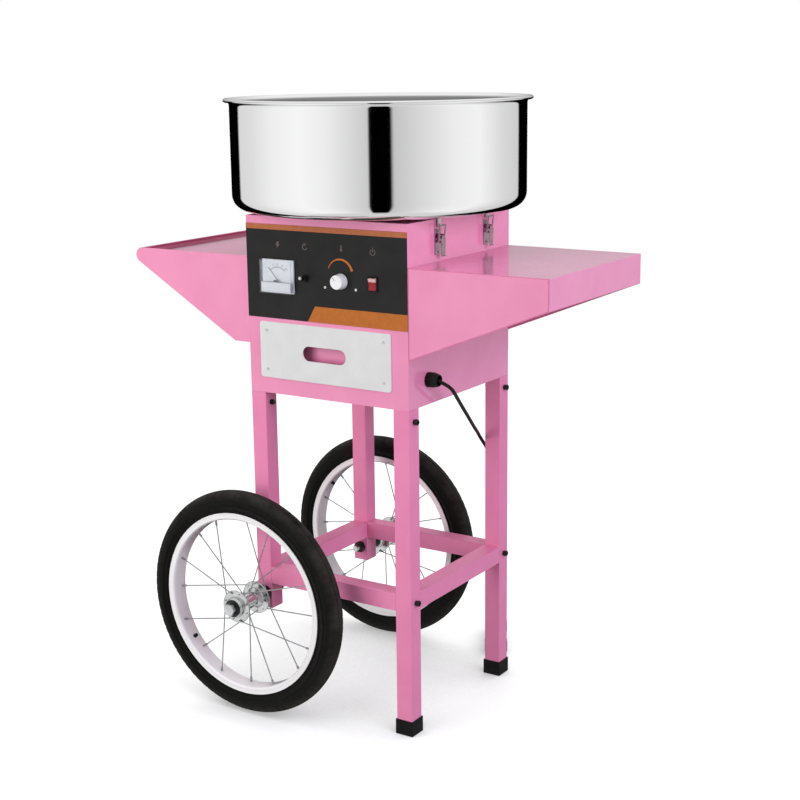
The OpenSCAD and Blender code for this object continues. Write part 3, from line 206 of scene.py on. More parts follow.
lead_line = bpy.data.curves.new("mains_lead", "CURVE")
lead_line.dimensions = "3D"
lead_points = through(lead_drop + [hank_foot + hank_turn @ Vector(p) for p in hank], 4)
spline = lead_line.splines.new("POLY")
spline.points.add(len(lead_points) - 1)
for point, at in zip(spline.points, lead_points):
    point.co = (*(at * MM), 1)
lead_line.bevel_depth = lead_r * MM
lead_line.bevel_resolution = 4
lead_line.use_fill_caps = True
lead = bpy.data.objects.new("mains_lead", lead_line)
bpy.context.collection.objects.link(lead)
fitted(lead, sheath, stands_for=("power_cord", "cord_hank"))


# Plug: a moulded black plug with a ribbed sleeve over the lead, two flat blades and a round earth pin
# of nickelled brass. It is moulded round the lead's end and lies behind the hank.
def turned(name, profile, foot=(0, 0, 0), axis=(0, 0, 1), steps=48, ring=True):
    """A round piece: a profile, as radius and height in millimetres, spun round an axis."""
    axis = Vector(axis).normalized()
    out = axis.orthogonal().normalized()
    foot = Vector(foot) * MM
    line = [foot + (out * r + axis * h) * MM for r, h in profile]
    joins = [(i, i + 1) for i in range(len(line) - 1)] + ([(len(line) - 1, 0)] if ring else [])
    mesh = bpy.data.meshes.new(name)
    mesh.from_pydata(line, joins, [])
    piece = bpy.data.objects.new(name, mesh)
    bpy.context.collection.objects.link(piece)
    only(piece)
    bpy.ops.object.mode_set(mode="EDIT")
    bpy.ops.mesh.select_all(action="SELECT")
    bpy.ops.mesh.spin(steps=steps, angle=2 * pi, center=foot, axis=axis)
    bpy.ops.mesh.select_all(action="SELECT")
    bpy.ops.mesh.remove_doubles(threshold=1e-6)
    bpy.ops.mesh.normals_make_consistent(inside=False)
    bpy.ops.object.mode_set(mode="OBJECT")
    return smoothed(piece)


def smoothed(piece, angle=40):
    """Shades a piece smooth, but for its sharp corners."""
    only(piece)
    bpy.ops.object.shade_smooth_by_angle(angle=radians(angle))
    return piece


def eased(profile, steps=4):
    """A profile whose corners are rounded off where they give a radius as a third number."""
    line = []
    count = len(profile)
    for i, corner in enumerate(profile):
        here = Vector(corner[:2])
        if len(corner) < 3:
            line.append(tuple(here))
            continue
        before, after = (Vector(profile[k % count][:2]) - here for k in (i - 1, i + 1))
        reach = corner[2] / max(0.2, tan(before.angle(after) / 2))
        start = here + before * min(0.48, reach / before.length)
        end = here + after * min(0.48, reach / after.length)
        for j in range(steps + 1):
            u = j / steps
            line.append(tuple(start * (1 - u) ** 2 + here * 2 * u * (1 - u) + end * u * u))
    return line


def block(name, low, high, edge=0.0):
    """A squared block between two corners in millimetres, with its edges rounded off."""
    low, high = Vector(low) * MM, Vector(high) * MM
    bpy.ops.object.select_all(action="DESELECT")
    bpy.ops.mesh.primitive_cube_add(size=1, location=(low + high) / 2)
    piece = bpy.context.object
    piece.name = name
    piece.scale = high - low
    bpy.ops.object.transform_apply(location=True, rotation=True, scale=True)
    if edge:
        bpy.ops.object.mode_set(mode="EDIT")
        bpy.ops.mesh.select_all(action="SELECT")
        bpy.ops.mesh.bevel(offset=edge * MM, segments=2, affect="EDGES")
        bpy.ops.object.mode_set(mode="OBJECT")
    return smoothed(piece)


def joined(name, *pieces):
    """Several pieces made one."""
    only(pieces[0])
    for piece in pieces[1:]:
        piece.select_set(True)
    bpy.ops.object.join()
    pieces[0].name = name
    return pieces[0]


def settled(piece, place):
    """Puts a piece's mesh where the matrix says, with its object back at the origin."""
    only(piece)
    piece.matrix_world = place
    bpy.ops.object.transform_apply(location=True, rotation=True, scale=True)
    return piece


black_plastic = cloudy("moulded_black", (18, 3, (0.005, 0.005, 0.005), (0.009, 0.009, 0.009)),
                       (3, 4, 0.34, 0.5), (0.6, 2, 0.02), Specular_IOR_Level=0.2)
nickel = cloudy("nickelled_brass", (6, 4, (0.62, 0.60, 0.55), (0.72, 0.70, 0.66)), (2, 4, 0.16, 0.3),
                Metallic=1.0)

sleeve = [(0, 0), (4.4, 0)]
for i in range(6):
    thick = 4.6 + 0.6 * i
    sleeve += [(thick, 1 + 3.8 * i), (thick + 0.5, 3.4 + 3.8 * i), (thick - 0.6, 3.5 + 3.8 * i),
               (thick - 0.4, 4.7 + 3.8 * i)]
sleeve += [(8, 24.5), (0, 24.5)]
plug_sleeve = turned("plug_sleeve", sleeve, axis=(1, 0, 0), steps=32, ring=False)
bpy.ops.object.select_all(action="DESELECT")
bpy.ops.mesh.primitive_cylinder_add(vertices=8, radius=13 / cos(pi / 8) * MM, depth=36 * MM,
                                    location=(42 * MM, 0, 0), rotation=(0, pi / 2, 0))
plug_body = bpy.context.object
bpy.ops.object.transform_apply(location=True, rotation=True, scale=True)
bpy.ops.object.mode_set(mode="EDIT")
bpy.ops.transform.rotate(value=pi / 8, orient_axis="X", center_override=(0, 0, 0))
bpy.ops.mesh.bevel(offset=2.2 * MM, segments=3, affect="EDGES")
bpy.ops.object.mode_set(mode="OBJECT")
smoothed(plug_body)
plug_place = hank_place @ Matrix.Translation(Vector((hank_end, 0, plug_high)) * MM)
plug = settled(joined("moulded_plug", plug_body, plug_sleeve), plug_place)
fitted(plug, black_plastic, stands_for=("plug",))
blades = [block("blade", (59, y - 0.75, -3.15), (76, y + 0.75, 3.15), 0.5) for y in (-6.35, 6.35)]
earth = turned("earth_pin", [(0, 59), (2.4, 59), (2.4, 73.5), (1.9, 75.2), (0.9, 76), (0, 76)],
               foot=(0, 0, -6.35), axis=(1, 0, 0), steps=24, ring=False)
pins = settled(joined("plug_pins", *blades, earth), plug_place)
fitted(pins, nickel)


# Tie: a flat woven strap round the middle of the hank, pulled tight over its layers. It is cut from
# nylon tape and joined to a ring.
def pick(piece, kind, wanted):
    """Goes into the piece's mesh with just those edges or faces selected that are wanted."""
    only(piece)
    bpy.ops.object.mode_set(mode="EDIT")
    bpy.ops.mesh.select_mode(type=kind)
    bpy.ops.mesh.select_all(action="DESELECT")
    bpy.ops.object.mode_set(mode="OBJECT")
    mesh = piece.data
    if kind == "EDGE":
        for edge in mesh.edges:
            edge.select = wanted(*(mesh.vertices[i].co / MM for i in edge.vertices))
    else:
        for face in mesh.polygons:
            face.select = wanted(face.center / MM, face.normal)
    bpy.ops.object.mode_set(mode="EDIT")


def done():
    bpy.ops.object.mode_set(mode="OBJECT")


def modified(piece, kind, **values):
    """Adds a modifier with its values, and applies it at once."""
    only(piece)
    modifier = piece.modifiers.new(kind, kind)
    for value, number in values.items():
        setattr(modifier, value, number)
    bpy.ops.object.modifier_apply(modifier=modifier.name)
    return piece


hank_tie = block("hank_tie", (42, -20, 0.4), (54, 20, 27.1))
pick(hank_tie, "FACE", lambda middle, normal: abs(normal.x) > 0.9)
bpy.ops.mesh.delete(type="FACE")
done()
pick(hank_tie, "EDGE", lambda a, b: abs(a.x - b.x) > 5)
bpy.ops.mesh.bevel(offset=6 * MM, segments=5, affect="EDGES")
done()
modified(hank_tie, "SOLIDIFY", thickness=0.9 * MM, offset=0)
settled(smoothed(hank_tie), hank_place)
woven = new_finish("woven_tape", Roughness=0.85, Sheen_Weight=0.3)
tint(woven, mottle(woven, 1.2, 2), (0.010, 0.010, 0.011), (0.022, 0.022, 0.024))
relief(woven, mottle(woven, 0.5, 1), 0.15)
fitted(hank_tie, woven)


# Gland: a black moulded clamp for the lead in the right side of the box, with a lock nut inside. Its nut
# has grips, and its tapered nose opens like a bell so that the lead bends gently.
gland_foot = Vector((0, -105, 607))
grips = 16
gland_nut = turned("gland_nut", eased([(0, 158.5), (8, 158.5), (8, 160), (12.5, 160, 0.4), (12.5, 171, 1.2),
                                       (9.8, 181, 0.8), (8.4, 181, 0.6), (4.1, 166), (0, 166)]),
                   foot=gland_foot, axis=(1, 0, 0), steps=3 * grips, ring=False)


def on_grip(middle, normal):
    """Says whether a face of the gland's nut lies in one of its grips."""
    out = (middle - gland_foot).yz
    turn = (out.angle_signed(Vector((1, 0)), 0) + pi) / (2 * pi) * 3 * grips
    return out.length > 12 and 160.5 < middle.x < 170 and int(turn) % 3 == 0


pick(gland_nut, "FACE", on_grip)
bpy.ops.mesh.inset(thickness=0.25 * MM, depth=-0.8 * MM, use_individual=False)
done()
gland_inside = turned("gland_inside", eased([(3.1, 153.5), (12.4, 153.5, 0.8), (12.4, 158.4, 0.5), (8, 158.5),
                                             (8, 161), (3.1, 161)]), foot=gland_foot, axis=(1, 0, 0), steps=6)
fitted(joined("lead_gland", smoothed(gland_nut), gland_inside), black_plastic,
       stands_for=("cable_gland",))


# Frame: square steel tube of 30 mm, cut and drilled, with plugged ends on the cross stretchers. The
# tube is rolled with round corners, and painted in the pink of the box with a satin skin. Its pink is
# set a touch deeper than the box's: painted shade.
def dressed(node, finish, width=0.4, rounds=3, long=6.0, where=None, body="frame"):
    """A copy of a CAD piece with its long sharp edges rounded off, which then stands for it."""
    piece = bpy.data.objects.new(node + ".skin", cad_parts[node].data.copy())
    bpy.context.collection.objects.link(piece)
    only(piece)
    bpy.ops.mesh.customdata_custom_splitnormals_clear()
    bpy.ops.object.mode_set(mode="EDIT")
    bpy.ops.mesh.select_mode(type="EDGE")
    bpy.ops.mesh.select_all(action="SELECT")
    bpy.ops.mesh.remove_doubles(threshold=1e-6)
    bpy.ops.mesh.dissolve_limited(angle_limit=radians(0.5))
    bpy.ops.mesh.select_all(action="DESELECT")
    bpy.ops.mesh.edges_select_sharp(sharpness=radians(40))
    bpy.ops.object.mode_set(mode="OBJECT")
    mesh = piece.data
    for edge in mesh.edges:
        if edge.select:
            a, b = (mesh.vertices[i].co / MM for i in edge.vertices)
            edge.select = (a - b).length > long and (where is None or where(a, b))
    bpy.ops.object.mode_set(mode="EDIT")
    if width:
        bpy.ops.mesh.bevel(offset=width * MM, segments=rounds, affect="EDGES", clamp_overlap=True)
    bpy.ops.object.mode_set(mode="OBJECT")
    smoothed(piece)
    modified(piece, "WEIGHTED_NORMAL", keep_sharp=True)
    return fitted(piece, finish, body, (node,))


pink_paint = cloudy("baked_pink_paint", (60, 4, (0.765, 0.243, 0.42), (0.80, 0.267, 0.444)),
                    (7, 4, 0.30, 0.42), Coat_Weight=1.0, Coat_Roughness=0.035, Coat_IOR=1.5,
                    Specular_IOR_Level=0.1)
relief(pink_paint, mottle(pink_paint, 5.5, 1), 0.035, coat=True)
relief(pink_paint, mottle(pink_paint, 0.7, 2), 0.004)
# Its pink is a touch deeper than the box's: painted shade.
frame_paint = cloudy("satin_pink_paint", (60, 4, (0.75, 0.226, 0.40), (0.785, 0.248, 0.424)),
                     (7, 4, 0.36, 0.48), (0.7, 2, 0.004), Coat_Weight=0.3, Coat_Roughness=0.2, Coat_IOR=1.5,
                     Specular_IOR_Level=0.1)


def tube_corner(across):
    """Says whether an edge lies on the outer corner of a tube, given its two sides across the tube."""
    def wanted(a, b):
        return all(abs(abs(p[i]) - at) < 0.1 for p in (a, b) for i, ats in across.items()
                   for at in [min(ats, key=lambda t: abs(abs(p[i]) - t))])
    return wanted


stretcher_low = 220
half_wide, half_deep, tube, tube_round = 160, 165, 30, 2.2
leg_sides = {0: (half_wide - tube, half_wide), 1: (half_deep - tube, half_deep)}
for legs in ("short_legs", "long_legs"):
    dressed(legs, frame_paint, tube_round, 4, 20, tube_corner(leg_sides))


def stretcher_corner(a, b):
    """Says whether an edge lies on the outer corner of a stretcher, which runs across or deep."""
    side = 1 if abs(a.x - b.x) > abs(a.y - b.y) else 0
    return all(min(abs(abs(p[side]) - s) for s in leg_sides[side]) < 0.1
               and min(abs(p.z - stretcher_low), abs(p.z - stretcher_low - tube)) < 0.1 for p in (a, b))


dressed("stretchers", frame_paint, tube_round, 4, 40, stretcher_corner)

# Bolts of the frame: black cap-head bolts through the legs and the trays, each with a shoulder and a
# socket, and plain hex nuts inside. The heads are forged, blacked and oiled.
blacked = cloudy("blacked_steel", (5, 4, (0.012, 0.012, 0.013), (0.035, 0.034, 0.034)),
                 (1.5, 4, 0.32, 0.55), Metallic=0.6, Specular_IOR_Level=0.4)
bolts = dressed("frame_bolts", blacked, 0)
head_face, socket_floor, head_r = 168, 165.4, 5
pick(bolts, "FACE", lambda middle, normal: abs(normal.x) > 0.9 and abs(abs(middle.x) - head_face) < 0.1)
bpy.ops.mesh.inset(thickness=1.6 * MM, depth=0, use_individual=False)
bpy.ops.mesh.inset(thickness=1.0 * MM, depth=0, use_individual=False)
bpy.ops.mesh.extrude_region_move(TRANSFORM_OT_translate={"value": (0, 0, 0)})
bpy.ops.transform.resize(value=(socket_floor / head_face, 1, 1), center_override=(0, 0, 0))
done()


def head_brim(a, b):
    """Says whether an edge lies on the outer brim of a bolt's head."""
    middles = [Vector((side * (half_deep - tube / 2), high)) for side in (-1, 1) for high in (545, 235)]
    return all(abs(abs(p.x) - head_face) < 0.01 for p in (a, b)) and any(
        abs((a.yz - middle).length - head_r) < 0.05 for middle in middles)


pick(bolts, "EDGE", head_brim)
bpy.ops.mesh.bevel(offset=1.2 * MM, segments=4, affect="EDGES", clamp_overlap=False)
done()
smoothed(bolts)

# Feet: two square rubber caps pushed over the ends of the long legs. They are moulded in black rubber
# with rounded corners and a slightly rough skin.
rubber = cloudy("black_rubber", (12, 4, (0.004, 0.004, 0.004), (0.009, 0.0085, 0.0085)),
                (2.5, 4, 0.5, 0.72), (0.8, 2, 0.05), Specular_IOR_Level=0.1)
dressed("rubber_feet", rubber, 1.3, 3, 10)


# Tyres: black rubber tyres of 400 mm with a ribbed crown, notched shoulders and a bead line at the
# rim. They are moulded in one piece and sit on the rims by their own pull.
def reach(finish, middle, across):
    """The distance in metres from an axis through a middle, counted along the sides across it."""
    nodes, links = finish.node_tree.nodes, finish.node_tree.links
    value = nodes.new("ShaderNodeTexCoord").outputs["Object"]
    for operation, amount in (("SUBTRACT", Vector(middle) * MM), ("MULTIPLY", across), ("LENGTH", (0, 0, 0))):
        step = nodes.new("ShaderNodeVectorMath")
        step.operation = operation
        step.inputs[1].default_value = amount
        links.new(value, step.inputs[0])
        value = step.outputs["Value" if operation == "LENGTH" else "Vector"]
    return value


def reckoned(finish, operation, *values):
    """Two values put together by a plain operation."""
    step = finish.node_tree.nodes.new("ShaderNodeMath")
    step.operation = operation
    for value, socket in zip(values, step.inputs):
        finish.node_tree.links.new(value, socket)
    return step.outputs["Value"]


axle = Vector((-145, -218, 200))
to_rear = Matrix.Translation((0, -2 * axle.y * MM, 0))
tyre_steps = 240
tyre_rubber = new_finish("tyre_rubber", Specular_IOR_Level=0.1)
# The crown is painted lighter, in patches: a painted sheen.
painted_crown_sheen = ranged(tyre_rubber, reach(tyre_rubber, axle, (1, 0, 1)), 0.186, 0.1985)
patchy = ranged(tyre_rubber, mottle(tyre_rubber, 30, 5), 0.25, 0.6)
painted_crown_sheen = reckoned(tyre_rubber, "MULTIPLY", painted_crown_sheen, patchy)
tint(tyre_rubber, painted_crown_sheen, (0.0055, 0.0052, 0.0047), (0.028, 0.0255, 0.0215), (0, 1))
polish(tyre_rubber, mottle(tyre_rubber, 6, 5), 0.5, 0.72)
relief(tyre_rubber, mottle(tyre_rubber, 1.1, 2), 0.06)


def copy_of(piece, name, place):
    """A copy of a piece with its own mesh, put elsewhere."""
    copy = bpy.data.objects.new(name, piece.data.copy())
    bpy.context.collection.objects.link(copy)
    return settled(copy, place)


def on_both_wheels(piece, part, finish):
    """Fits a piece to the front wheel, and a copy of it to the rear wheel."""
    rear = copy_of(piece, part + "_rear", to_rear)
    fitted(piece, finish, "front_wheel", ("front_" + part,))
    fitted(rear, finish, "rear_wheel", ("rear_" + part,))


def tyre_point(turn):
    """A point of the tyre's outside, at so many degrees from its crown towards the rim."""
    swell = 0.55 if 98 <= abs(turn) <= 106 else -0.7 * ease((abs(turn) - 52) / 5)
    return (180 + (20 + swell) * cos(radians(turn)), (20.5 + swell) * sin(radians(turn)))


turns = [0, 6, 9, 12.5, 18, 24, 31, 38, 45, 52, 54, 57, 64, 72, 80, 89, 97, 98, 102, 106, 107, 115, 124, 133]
tyre_line = [tyre_point(t) for t in [-t for t in turns[:0:-1]] + turns]
tyre_line = [(154, -14.9), (163.4, -15)] + tyre_line + [(163.4, 15), (154, 14.9)]
front_tyre = turned("tyre_front", tyre_line, foot=axle, axis=(0, 1, 0), steps=tyre_steps)


def on_tyre(middle):
    """How far round the tyre, in steps, and how far across it a place lies."""
    out = middle - axle
    return (out.xz.angle_signed(Vector((1, 0))) / (2 * pi) * tyre_steps) % tyre_steps, out.y


def crown_groove(middle, normal):
    return (middle - axle).length > 196 and 3.4 < abs(on_tyre(middle)[1]) < 4.9


pick(front_tyre, "FACE", crown_groove)
bpy.ops.mesh.inset(thickness=0.25 * MM, depth=-1.0 * MM, use_individual=False)
done()


def shoulder_notch(middle, normal):
    step, across = on_tyre(middle)
    set_off = 1.5 if across > 0 else 0
    return 9.0 < abs(across) < 17.0 and (middle - axle).length > 190 and int(step + set_off) % 3 == 0


pick(front_tyre, "FACE", shoulder_notch)
bpy.ops.mesh.inset(thickness=0.9 * MM, depth=-0.4 * MM, use_individual=False)
done()
smoothed(front_tyre, 32)
on_both_wheels(front_tyre, "tyre", tyre_rubber)

# Rims: steel rims rolled to a box section with turned edges, painted white. A black rubber valve
# stands in each, between two spokes.
rim_paint = cloudy("white_rim_paint", (45, 4, (0.82, 0.795, 0.79), (0.855, 0.835, 0.83)),
                   (6, 4, 0.28, 0.42), Coat_Weight=0.6, Coat_Roughness=0.06)
relief(rim_paint, mottle(rim_paint, 4, 1), 0.02, coat=True)
rim_line = eased([(151, -13.5, 2.5), (153.2, -16.6, 1.8), (158.6, -16.3, 2), (162.8, -17, 0.8),
                  (163.5, -15.2, 0.6), (155, -15), (153, -12), (153, 12), (155, 15), (163.5, 15.2, 0.6),
                  (162.8, 17, 0.8), (158.6, 16.3, 2), (153.2, 16.6, 1.8), (151, 13.5, 2.5), (150.6, 0, 30)])
front_rim = turned("rim_front", rim_line, foot=axle, axis=(0, 1, 0), steps=192)
on_both_wheels(front_rim, "rim", rim_paint)
valve_line = eased([(0, -1), (3.6, -1), (3.6, 1.2, 0.5), (2.9, 2, 0.4), (2.7, 3, 0.3), (3.1, 3.4, 0.3),
                    (3.1, 6.5, 1), (0, 6.5)])
for name, body, turn, y in (("valve_front", "front_wheel", 216, axle.y),
                            ("valve_rear", "rear_wheel", 142.5, 212)):
    inward = -Vector((cos(radians(turn)), 0, sin(radians(turn))))
    valve = turned(name, valve_line, foot=Vector((axle.x, y, axle.z)) - inward * 151, axis=inward, steps=24,
                   ring=False)
    fitted(valve, rubber, body)

# Spokes and hubs: drawn steel spokes, bent at the hub and held by nipples at the rim, and a turned hub
# with two flanges that take their heads. The spokes are plated grey, and the hub is bare alloy.
chrome = cloudy("bright_plating", (14, 4, (0.60, 0.61, 0.62), (0.74, 0.75, 0.76)), (3, 5, 0.10, 0.26),
                (1.5, 2, 0.006), Metallic=1.0)
spoke_steel = cloudy("drawn_spoke_steel", (20, 3, (0.32, 0.33, 0.34), (0.46, 0.47, 0.48)),
                     (2, 4, 0.22, 0.4), Metallic=1.0)
for end, body in (("front", "front_wheel"), ("rear", "rear_wheel")):
    dressed(end + "_spokes", spoke_steel, 0, body=body)
hub_side = [(6.1, 37), (15, 37, 0.6), (18, 34, 1), (18, 29, 0.5), (27.6, 28.5, 0.8), (29, 27.6, 0.6),
            (29, 26.4, 0.6), (27.6, 25.5, 0.8), (18.2, 25, 2), (13.4, 16, 6)]
hub_line = eased(hub_side + [(p[0], -p[1], *p[2:]) for p in hub_side[::-1]])
front_hub = turned("hub_front", hub_line, foot=axle, axis=(0, 1, 0), steps=96)
hub_alloy = cloudy("turned_hub_alloy", (25, 2, (0.54, 0.55, 0.55), (0.63, 0.64, 0.64)), (8, 3, 0.12, 0.2),
                   Metallic=1.0)
relief(hub_alloy, mottle(hub_alloy, 6, 1, (1, 0.1, 1)), 0.004)
on_both_wheels(front_hub, "hub", hub_alloy)

# Axles: a hex-head bolt through each hub and wheel leg, with a black washer outside, a spacer tube
# inside and a nut behind the leg. They are turned and zinc plated.
zinc = cloudy("zinc_plate", (9, 5, (0.55, 0.56, 0.57), (0.70, 0.71, 0.72)), (2.5, 5, 0.22, 0.42),
              (1.2, 3, 0.01), Metallic=1.0)
dressed("axle_bolts", zinc, 0.9, 3, 9)
dressed("axle_fittings", blacked, 0.5, 2, 9)


# Box: one sheet of 1.5 mm steel folded to a top, front, back and two sides, spot welded at the back
# corners and painted pink. A plate with four posts closes it below.
box_top = 866


def box_corner(a, b):
    """Says whether an edge lies on an outer fold of the box, where two of its faces meet."""
    return all(sum((abs(abs(p.x) - half_wide) < 0.1, abs(abs(p.y) - half_deep) < 0.1,
                    abs(p.z - box_top) < 0.1)) > 1 for p in (a, b))


dressed("casing", pink_paint, 2.0, 4, 20, box_corner)
dressed("base_plate", pink_paint, 0.5, 2, 20)


# Rear cover: a flat service cover with two rows of cooling slots, lapped over its opening and held by
# six round-head screws. It is painted with the box.
dressed("rear_cover", pink_paint, 0.5, 2, 4)
dressed("rear_screws", zinc, 0)

# Trays: folded and welded steel trays, bolted to the box's sides through flanges. The right one has a
# flat top with a deep end, the left one a low floor, rubbed dull, behind a round nose.
tray_paint = pink_paint.copy()
tray_paint.name = "rubbed_pink_paint"
tray_paint.node_tree.nodes["Principled BSDF"].inputs["Coat Roughness"].default_value = 0.3
right_tray = dressed("right_tray", pink_paint, 1.3, 3, 12)
pick(right_tray, "FACE", lambda middle, normal: abs(normal.y) > 0.99
     and abs(abs(middle.y) - half_deep) < 0.1)
seam_wide, seam_deep = 0.8, 1.1
for down in (-seam_deep, seam_deep):
    bpy.ops.mesh.inset(thickness=seam_wide * MM, depth=down * MM, use_individual=False)
done()
bpy.ops.mesh.customdata_custom_splitnormals_clear()
smoothed(right_tray)
modified(right_tray, "WEIGHTED_NORMAL", keep_sharp=True)
left_tray = dressed("left_tray", tray_paint, 0.5, 2, 12)
right_tray.visible_glossy = left_tray.visible_glossy = False

# Control panel: a black printed film on a thin plate, stuck to the box's front. The print is a copper
# stripe along the top, an orange field at the lower right, a heat scale and plain signs.
panel_film = cloudy("black_panel_film", (40, 4, (0.008, 0.008, 0.008), (0.0115, 0.0115, 0.011)),
                    (5, 4, 0.36, 0.5), (0.35, 1, 0.008), Specular_IOR_Level=0.24)
dressed("control_fascia", panel_film, 0.25, 2, 20)
face_y = -165.8


def print_ink(name, low, high):
    return cloudy(name, (8, 4, low, high), (3, 4, 0.38, 0.52), (0.4, 1, 0.006), Specular_IOR_Level=0.4)


def film(name, outline, ink, at=face_y, thick=0.12):
    """A printed shape on a face of the panel, from its outline across and up, in millimetres."""
    mesh = bpy.data.meshes.new(name)
    mesh.from_pydata([(x * MM, (at + 0.02) * MM, z * MM) for x, z in outline], [], [range(len(outline))])
    piece = bpy.data.objects.new(name, mesh)
    bpy.context.collection.objects.link(piece)
    only(piece)
    bpy.ops.object.mode_set(mode="EDIT")
    bpy.ops.mesh.select_all(action="SELECT")
    bpy.ops.mesh.extrude_region_move(TRANSFORM_OT_translate={"value": (0, -thick * MM, 0)})
    bpy.ops.mesh.select_all(action="SELECT")
    bpy.ops.mesh.normals_make_consistent(inside=False)
    bpy.ops.object.mode_set(mode="OBJECT")
    fitted(piece, ink)


def disc(x, z, r, steps=24):
    return [(x + r * cos(2 * pi * i / steps), z + r * sin(2 * pi * i / steps)) for i in range(steps)]


def arc_band(x, z, inner, outer, start, end, steps=24):
    """A curved band round a middle, whose inner and outer radius run evenly from start to end."""
    def at(radii, i):
        u = i / steps
        r, a = radii[0] + (radii[1] - radii[0]) * u, radians(start + (end - start) * u)
        return x + r * cos(a), z + r * sin(a)
    return [at(outer, i) for i in range(steps + 1)] + [at(inner, i) for i in range(steps, -1, -1)]


orange = print_ink("orange_print", (0.405, 0.113, 0.011), (0.45, 0.128, 0.013))
copper_ink = print_ink("copper_print", (0.39, 0.113, 0.036), (0.435, 0.128, 0.044))
film("panel_stripe", [(-half_wide, 844), (half_wide, 844), (half_wide, 852.9), (-half_wide, 852.9)],
     copper_ink)
film("panel_field", [(-36, 695.1), (half_wide, 695.1), (half_wide, 722), (-20.5, 721.6)], orange)
film("heat_scale", arc_band(30.9, 778.3, (23.7, 22.4), (24.8, 26.9), 160, 15.6), orange)
white_ink = print_ink("white_print", (0.60, 0.60, 0.58), (0.68, 0.68, 0.66))
for name, x in (("heat_dot_low", 0.6), ("heat_dot_high", 61.4)):
    film(name, disc(x, 755, 2.2), white_ink)
sign_ink = print_ink("dim_sign_print", (0.085, 0.058, 0.05), (0.11, 0.078, 0.068))
film("sign_current", [(-95.5, 824.5), (-90.5, 824.5), (-93.3, 820.2), (-89.8, 820.2), (-97.2, 812.6),
                      (-94.6, 818), (-98.4, 818)], sign_ink)
film("sign_turn", arc_band(-39, 818.6, (3.6, 3.6), (5.2, 5.2), 60, 350), sign_ink)
film("sign_turn_tip", [(-40.4, 826.3), (-40.2, 819.5), (-34.6, 822.6)], sign_ink)
film("sign_heat_stem", arc_band(34, 818, (1.1, 1.1), (2.5, 2.5), -240, 60)[:25]
     + [(35.2, 825.4), (34.6, 826.2), (33.4, 826.2), (32.8, 825.4)], sign_ink)
film("sign_power_ring", arc_band(95, 818, (3.9, 3.9), (5.4, 5.4), 125, 415), sign_ink)
film("sign_power_bar", [(94.2, 818), (95.8, 818), (95.8, 825.6), (94.2, 825.6)], sign_ink)

# Meter: a white moulded case with a printed dial under a clear cover, clamped through the panel. A
# frosted strip hides the coil below the scale, with a black half disc over the needle's pivot.
meter_white = cloudy("white_meter_plastic", (12, 3, (0.59, 0.62, 0.65), (0.65, 0.68, 0.71)),
                     (3, 4, 0.3, 0.45), Specular_IOR_Level=0.5)
dressed("meter_case", meter_white, 0.4, 2, 8)
clear = new_finish("clear_cover", Alpha=0.07, Roughness=0.06, Base_Color=(0.93, 0.96, 1.0, 1), IOR=1.49)
relief(clear, mottle(clear, 9, 1), 0.01)
dressed("meter_cover", clear, 1.2, 3, 8)
dial_y, pivot, scale_r = face_y - 4, Vector((-93, 761)), 21.2
first, sweep, ticks = 132, 84, 16
dial_ink = print_ink("dial_print", (0.02, 0.02, 0.025), (0.035, 0.035, 0.04))
film("dial_arc", arc_band(*pivot, (21.0, 21.0), (21.5, 21.5), first, first - sweep, 40), dial_ink, at=dial_y)
for i in range(ticks + 1):
    a = radians(first - sweep * i / ticks)
    tall = 3.4 if i % 4 == 0 else 1.9
    way, side = Vector((cos(a), sin(a))), Vector((sin(a), -cos(a))) * 0.16
    foot, tip = pivot + way * scale_r, pivot + way * (scale_r + tall)
    film("dial_tick_%02d" % i, [tuple(p) for p in (foot - side, foot + side, tip + side, tip - side)],
         dial_ink, at=dial_y)


def printed_words(name, words, x, z, size, ink, at):
    """Plain figures printed on an upright face, with their middle at x and their foot at z."""
    bpy.ops.object.select_all(action="DESELECT")
    bpy.ops.object.text_add()
    piece = bpy.context.object
    piece.name = name
    piece.data.body = words
    piece.data.size = size * MM
    piece.data.align_x = "CENTER"
    piece.data.extrude = 0.05 * MM
    only(piece)
    bpy.ops.object.convert(target="MESH")
    settled(piece, Matrix.Translation((x * MM, (at - 0.03) * MM, z * MM)) @ Matrix.Rotation(pi / 2, 4, "X"))
    fitted(piece, ink)


for i, figure in enumerate(("0", "5", "10", "15", "20")):
    a = radians(first - sweep * i / 4)
    printed_words("dial_figure_" + figure, figure, pivot.x + 27 * cos(a), pivot.y + 26.2 * sin(a) - 1, 3.6,
                  dial_ink, dial_y)
frosted = cloudy("frosted_strip", (1.6, 4, (0.53, 0.55, 0.57), (0.67, 0.69, 0.71)), (1, 3, 0.45, 0.6),
                 (1.2, 3, 0.08), Specular_IOR_Level=0.4)
strip = block("meter_strip", (-123, face_y - 10.2, 741), (-63, face_y - 8.6, 758), 0.3)
fitted(strip, frosted)
film("meter_strip_line", [(-123, 757.6), (-63, 757.6), (-63, 758.3), (-123, 758.3)], dial_ink,
     at=face_y - 10.2)
half_disc = [(pivot.x + 5 * cos(radians(a)), 758 + 4 * sin(radians(a))) for a in range(0, 181, 12)]
film("meter_pivot_cover", half_disc, dial_ink, at=face_y - 9.6, thick=0.5)
needle_grey = cloudy("needle_paint", (4, 2, (0.26, 0.27, 0.28), (0.32, 0.33, 0.34)), (2, 2, 0.4, 0.5),
                     Specular_IOR_Level=0.4)
dressed("meter_needle", needle_grey, 0, body="needle")

